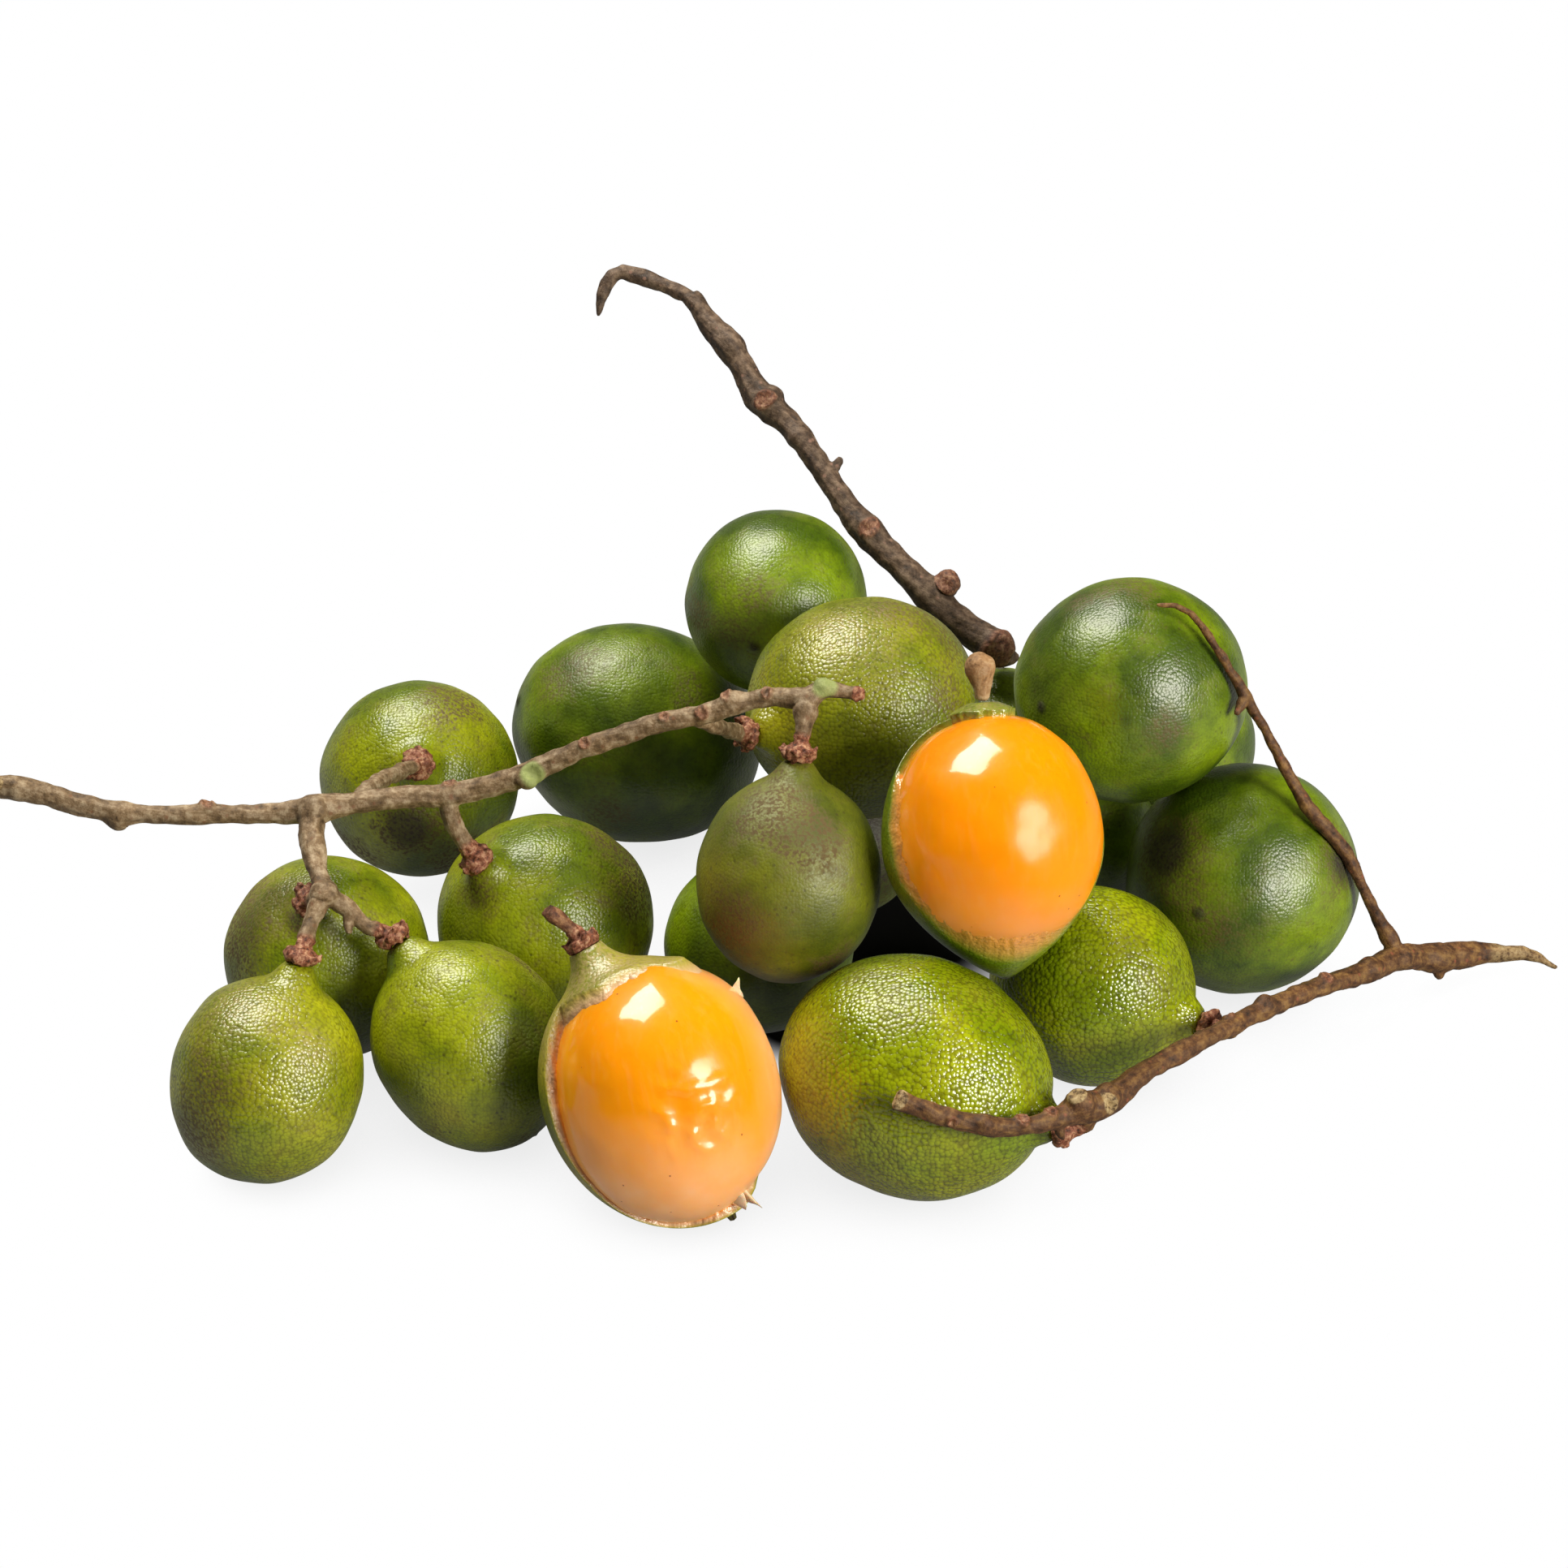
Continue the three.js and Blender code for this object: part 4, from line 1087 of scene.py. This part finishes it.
PALE_BARK = bark("bark_pale_grey", "#4c3822", "#8a7050", "#bfa98a", "#7c5438", relief=1.4)
BROWN_BARK = bark("bark_brown", "#2c1a0e", "#664326", "#97713f", "#8f5238", relief=1.4)
DARK_BARK = bark("bark_dark_grey", "#241a13", "#5c4838", "#8d7661", "#94705f", relief=1.6)
STALK_BARK = bark("bark_dried_stalk", "#2a1710", "#6b4029", "#ac8058", "#3a2013", relief=1.8)
TAN_BARK = bark("bark_tan_stalk", "#6b4a2c", "#ab8256", "#cfae84", "#5d3c22", relief=1.2)
print("five barks")

# %% [markdown]
# ## Twigs and stalks
# A twig of the CAD part is a chain of round rods. A merged copy of it gets the dried flower
# flakes as small flattened balls, and a voxel remesh welds everything to one even skin of
# quarter-millimetre squares. A few rounds of smoothing take the steps out. A finer mesh of
# the CAD rods alone would keep their creases; the remesh lets knots and flakes grow out of
# the wood without a seam.


# %% Welding the wood
VOXEL = 0.25 * MM


def remeshed(body):
    mesh = bpy.data.meshes.new("raw_wood")
    body.to_mesh(mesh)
    body.free()
    raw = bpy.data.objects.new("raw_wood", mesh)
    bpy.context.scene.collection.objects.link(raw)
    step = raw.modifiers.new("weld", "REMESH")
    step.mode = "VOXEL"
    step.voxel_size = VOXEL
    fine = bmesh.new()
    fine.from_object(raw, bpy.context.evaluated_depsgraph_get())
    bpy.data.objects.remove(raw)
    for _ in range(3):
        bmesh.ops.smooth_vert(fine, verts=fine.verts, factor=0.5, use_axis_x=True,
                              use_axis_y=True, use_axis_z=True)
    return fine


print("squares of the welded skin in mm:", round(1000 * VOXEL, 2))

# %% [markdown]
# Bark cracks run along the wood, round every bend and into every branch, so their pattern
# needs a position that does the same. The middle line is found by looking straight through
# the wood from each point, and the distance from the cut end by walking along the edges.
# The place across the middle line, plus a little of the distance walked, is the grain.


# %% Grain of a twig
THICKEST = 7 * MM  # nothing on a twig is thicker
FURTHEST = 0.5  # m, past any twig's end
SQUEEZE = 0.14  # of the length, so that the pattern is stretched along the wood


def neighbour_mean(values, edges, degree):
    total = np.zeros_like(values)
    for k in range(values.shape[1]):
        for a, b in ((0, 1), (1, 0)):
            total[:, k] += np.bincount(edges[:, a], values[edges[:, b], k], len(values))
    return total / degree[:, None]


def middle_line(body, spots, edges, degree):
    shape = BVHTree.FromBMesh(body)
    half = np.empty(len(spots))
    for k, vert in enumerate(body.verts):
        hit = shape.ray_cast(vert.co - vert.normal * 0.05 * MM, -vert.normal, THICKEST)
        half[k] = (hit[3] or 5 * MM) / 2
    inside = spots - np.array([v.normal for v in body.verts]) * half[:, None]
    for _ in range(14):
        inside = (inside + neighbour_mean(inside, edges, degree)) / 2
    return inside


def walk(spots, edges, start):
    lengths = np.linalg.norm(spots[edges[:, 0]] - spots[edges[:, 1]], axis=1)
    links = [[] for _ in spots]
    for (a, b), length in zip(edges.tolist(), lengths.tolist()):
        links[a].append((b, length))
        links[b].append((a, length))
    walked = [math.inf] * len(spots)
    first = int(np.argmin(np.linalg.norm(spots - np.array(start) * MM, axis=1)))
    walked[first] = 0.0
    queue = [(0.0, first)]
    while queue:
        so_far, k = heapq.heappop(queue)
        if so_far > walked[k]:
            continue
        for other, length in links[k]:
            if so_far + length < walked[other]:
                walked[other] = so_far + length
                heapq.heappush(queue, (so_far + length, other))
    return np.minimum(np.array(walked), FURTHEST)[:, None]


def wood_grain(body, start):
    body.verts.ensure_lookup_table()
    body.normal_update()
    spots = np.array([v.co for v in body.verts])
    edges = np.array([[v.index for v in e.verts] for e in body.edges])
    degree = np.maximum(1, np.bincount(edges.ravel(), minlength=len(spots)))
    inside = middle_line(body, spots, edges, degree)
    along = walk(spots, edges, start)
    for _ in range(4):
        along = (along + neighbour_mean(along, edges, degree)) / 2
    return (spots - inside) + along * SQUEEZE * np.ones(3) / math.sqrt(3)


print("the pattern is stretched", round(1 / SQUEEZE), "times along the wood")

# %% [markdown]
# Where a fruit hangs, flakes of the dried flower stand round the place, tilted away from
# the fruit. Each is a small ball, flattened and leaned outwards by a random draw that is
# the same in every run, because a script that is run again should give the same twig.


# %% Flower flakes
FLAKES = 8
FLAKE_RING = 1.95 * MM


def flower_flakes(body, seat, axis, pick):
    side = axis.orthogonal().normalized()
    other = axis.cross(side)
    for k in range(FLAKES):
        angle = 2 * math.pi * (k + pick.uniform(-0.3, 0.3)) / FLAKES
        out = side * math.cos(angle) + other * math.sin(angle)
        lean = (out * pick.uniform(0.15, 0.7) + axis * pick.uniform(0.6, 1.0)).normalized()
        ball = bmesh.ops.create_icosphere(body, subdivisions=2, radius=1)["verts"]
        size = Vector((pick.uniform(0.6, 1.0), 0.36, pick.uniform(1.0, 1.6))) * MM
        bmesh.ops.scale(body, verts=ball, vec=size)
        across = axis.cross(out).normalized()
        upright = Matrix((across, lean.cross(across).normalized(), lean)).transposed()
        bmesh.ops.rotate(body, verts=ball, matrix=upright)
        bmesh.ops.translate(body, verts=ball, vec=seat + out * FLAKE_RING + axis * 0.5 * MM)


print(FLAKES, "flakes round each fruit stalk")

# %% [markdown]
# The wood marks say where each twig was cut, where buds, knots, green scars and dry cups
# sit, where the tip has dried and where the wood is stouter. Each is a kind, a place and a
# size, in mm. They are placed one by one, as a carver would mark the wood.

# %% Marks of the wood
WOOD_MARKS = {
    "left_twig": [("green", (-37.0, -23.8, 43.7), 1.7), ("green", (3.7, -26.1, 59.6), 2.0),
                  ("bud", (-29.7, -23.2, 48.5), 0.9), ("bud", (-13.3, -24.5, 54.2), 1.0),
                  ("bud", (-4.3, -24.4, 57.2), 0.8), ("bud", (-18.5, -23.8, 53.1), 0.8),
                  ("bud", (-9.8, -23.5, 55.7), 0.8), ("bud", (-49.0, -21.8, 41.1), 0.9),
                  ("bud", (-82.4, -26.3, 40.3), 1.0), ("cut", (-111.5, -26.0, 43.5), 1.0),
                  ("cup", (8.4, -25.6, 57.7), 1.2), ("knot", (-108.7, -26.2, 43.2), 3.0),
                  ("knot", (-67.2, -26.0, 39.5), 4.0), ("knot", (-94.8, -27.0, 38.6), 3.0),
                  ("knot", (-64.9, -40.2, 34.6), 3.0), ("knot", (-66.4, -31.5, 37.0), 2.6),
                  ("knot", (-8.8, -23.5, 55.6), 2.2), ("knot", (0.8, -27.2, 56.5), 3.0)],
    "right_twig": [("cut", (36.5, -69.5, 22.5), 1.3), ("cut", (41.0, -67.5, 19.5), 1.2),
                   ("cut", (12.5, -75.5, 26.5), 1.6), ("bud", (29.3, -73.5, 21.3), 1.0),
                   ("bud", (33.1, -71.4, 20.8), 0.9), ("bud", (19.9, -76.6, 23.2), 0.7),
                   ("bud", (74.8, -32.0, 14.7), 0.9), ("bud", (59.5, -45.5, 17.7), 0.8),
                   ("knot", (24.4, -75.9, 22.4), 2.0), ("knot", (65.2, -40.8, 16.9), 2.2),
                   ("knot", (82.4, -25.3, 12.3), 3.0), ("knot", (94.5, -15.4, 6.0), 4.0),
                   ("knot", (39.3, -68.5, 19.0), 3.5), ("tip", (108.0, -9.0, 3.0), 6.0)],
    "back_twig": [("bud", (30.9, 31.0, 32.2), 2.4), ("bud", (22.8, 37.0, 40.4), 1.2),
                  ("bud", (11.0, 42.7, 46.9), 1.4), ("bud", (-5.0, 58.4, 61.2), 1.4),
                  ("knot", (30.4, 32.0, 32.6), 4.0), ("knot", (11.5, 43.5, 47.3), 4.0),
                  ("knot", (-4.4, 59.0, 61.4), 4.5), ("knot", (-9.8, 66.0, 68.0), 3.5),
                  ("knot", (0.4, 54.5, 57.0), 2.5), ("knot", (22.8, 37.8, 40.6), 3.0),
                  ("stout", (25.0, 35.5, 38.0), 20.0)],
    "opened_fruit_top_stalk": [("cut", (25.0, -24.5, 63.4), 1.0), ("knot", (24.6, -25.8, 62.0), 3.0),
                               ("knot", (24.7, -25.5, 62.4), 2.6)],
    "opened_fruit_front_stalk": [("knot", (-38.4, -48.4, 41.3), 3.0)],
}
MARK_SHADE = {"cup": (0, 1), "bud": (0, 0.6), "cut": (1, 1), "tip": (1, 0.35), "green": (2, 1)}
SWELLING = {"knot": 0.8, "stout": 0.45}  # mm
CUP_REACH = 3.9  # mm from the seat of a fruit, where the colour of the dried cup ends


def mark_wood(spots, seats, marks):
    paint = np.zeros((len(spots), 4), np.float32)
    paint[:, 3] = 1
    lift = np.zeros(len(spots))
    for seat, axis in seats:
        near = np.linalg.norm(spots - np.array(seat), axis=1) / MM
        paint[:, 0] = np.maximum(paint[:, 0], np.clip((CUP_REACH - near) / 0.8, 0, 1))
    for kind, place, size in marks:
        near = np.linalg.norm(spots - np.array(place) * MM, axis=1) / (size * MM)
        if kind in SWELLING:
            lift += SWELLING[kind] * np.exp(-((near / 0.6) ** 2))
            continue
        channel, strength = MARK_SHADE[kind]
        amount = np.clip((1.15 - near) / 0.3, 0, 1) * strength
        paint[:, channel] = np.maximum(paint[:, channel], amount)
        if kind != "tip":
            ring = np.exp(-(((near - 0.8) / 0.3) ** 2))
            lift += (0.45 if kind == "bud" else 0.25) * ring - 0.1 * np.exp(-((near / 0.4) ** 2))
    return paint, lift


print("wood marks:", {twig: len(marks) for twig, marks in WOOD_MARKS.items()})

# %% [markdown]
# Last, the skin of each twig is moved: cracks follow the grain, knobs are round, the cups
# are rough, and scars get a raised ring with a dip in its middle.


# %% Growing the wood
RELIEF = 0.12  # mm
SWELL = 0.1  # mm, puts back what the smoothing took off


def grow_wood(node, seats, start):
    body = bmesh.new()
    body.from_mesh(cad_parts[node].data)
    bmesh.ops.remove_doubles(body, verts=body.verts, dist=0.01 * MM)
    pick = random.Random(node)
    for seat, axis in seats:
        flower_flakes(body, seat, axis, pick)
    body = remeshed(body)
    grain = wood_grain(body, start)
    spots = np.array([v.co for v in body.verts])
    paint, lift = mark_wood(spots, seats, WOOD_MARKS[node])
    for k, vert in enumerate(body.verts):
        along = Vector(grain[k])
        crack = noise.noise(along * per(0.9)) + 0.5 * noise.noise(along * per(0.4))
        knob = noise.noise(vert.co * per(2.0)) + 0.6 * noise.noise(vert.co * per(4.5))
        rough = 0.3 * paint[k, 0] * noise.noise(vert.co * per(0.6))
        vert.co += vert.normal * (RELIEF * (0.6 * crack + 1.9 * knob) + rough + lift[k] + SWELL) * MM
        vert.co.z = max(vert.co.z, ABOVE_TABLE)
    return body, grain, paint


print("relief of the bark in mm:", RELIEF)

# %% [markdown]
# Three twigs and two short stalks. The seats are where fruits hang; the stalk of the top
# fruit has none, because its flower is gone.

# %% Twigs and stalks
def seat_of(fruit):
    return fruit["middle"] + fruit["axis"] * (fruit["top"] + 0.3 * MM), fruit["axis"]


hanging = {twig: [seat_of(fruits[n]) for n in fruits if n.startswith(twig + "_fruit")]
           for twig in ("left_twig", "right_twig", "back_twig")}
stem = Vector(FRONT_RIND["stem"]).normalized()
middle = read_ball("opened_fruit_front_pulp")["middle"] - Vector(FRONT_RIND["pulp_off"]) * MM
top = FRONT_RIND["long"] + FRONT_RIND["neck_high"] + 0.3 * MM
hanging["opened_fruit_front_stalk"] = [(middle + stem * top, stem)]
hanging["opened_fruit_top_stalk"] = []
# Finish, slot, and the place of the cut end in mm, where the grain starts.
WOODS = {
    "left_twig": (PALE_BARK, "pale_bark", (-112, -26, 43)),
    "right_twig": (BROWN_BARK, "brown_bark", (13, -75, 26)),
    "back_twig": (DARK_BARK, "dark_bark", (31, 31, 32)),
    "opened_fruit_top_stalk": (TAN_BARK, "dry_stalk", (25, -24, 63)),
    "opened_fruit_front_stalk": (STALK_BARK, "dry_stalk", (-36, -30, 60)),
}
for node, (finish, slot, start) in WOODS.items():
    body, grain, paint = grow_wood(node, hanging[node], start)
    piece = keep_piece(node + "_bark", body, finish, node)
    layer = piece.data.attributes.new("grain", "FLOAT_VECTOR", "POINT")
    layer.data.foreach_set("vector", grain.ravel().astype(np.float32))
    painted(piece.data, paint)
    print(node, "has", len(piece.data.polygons), "faces")
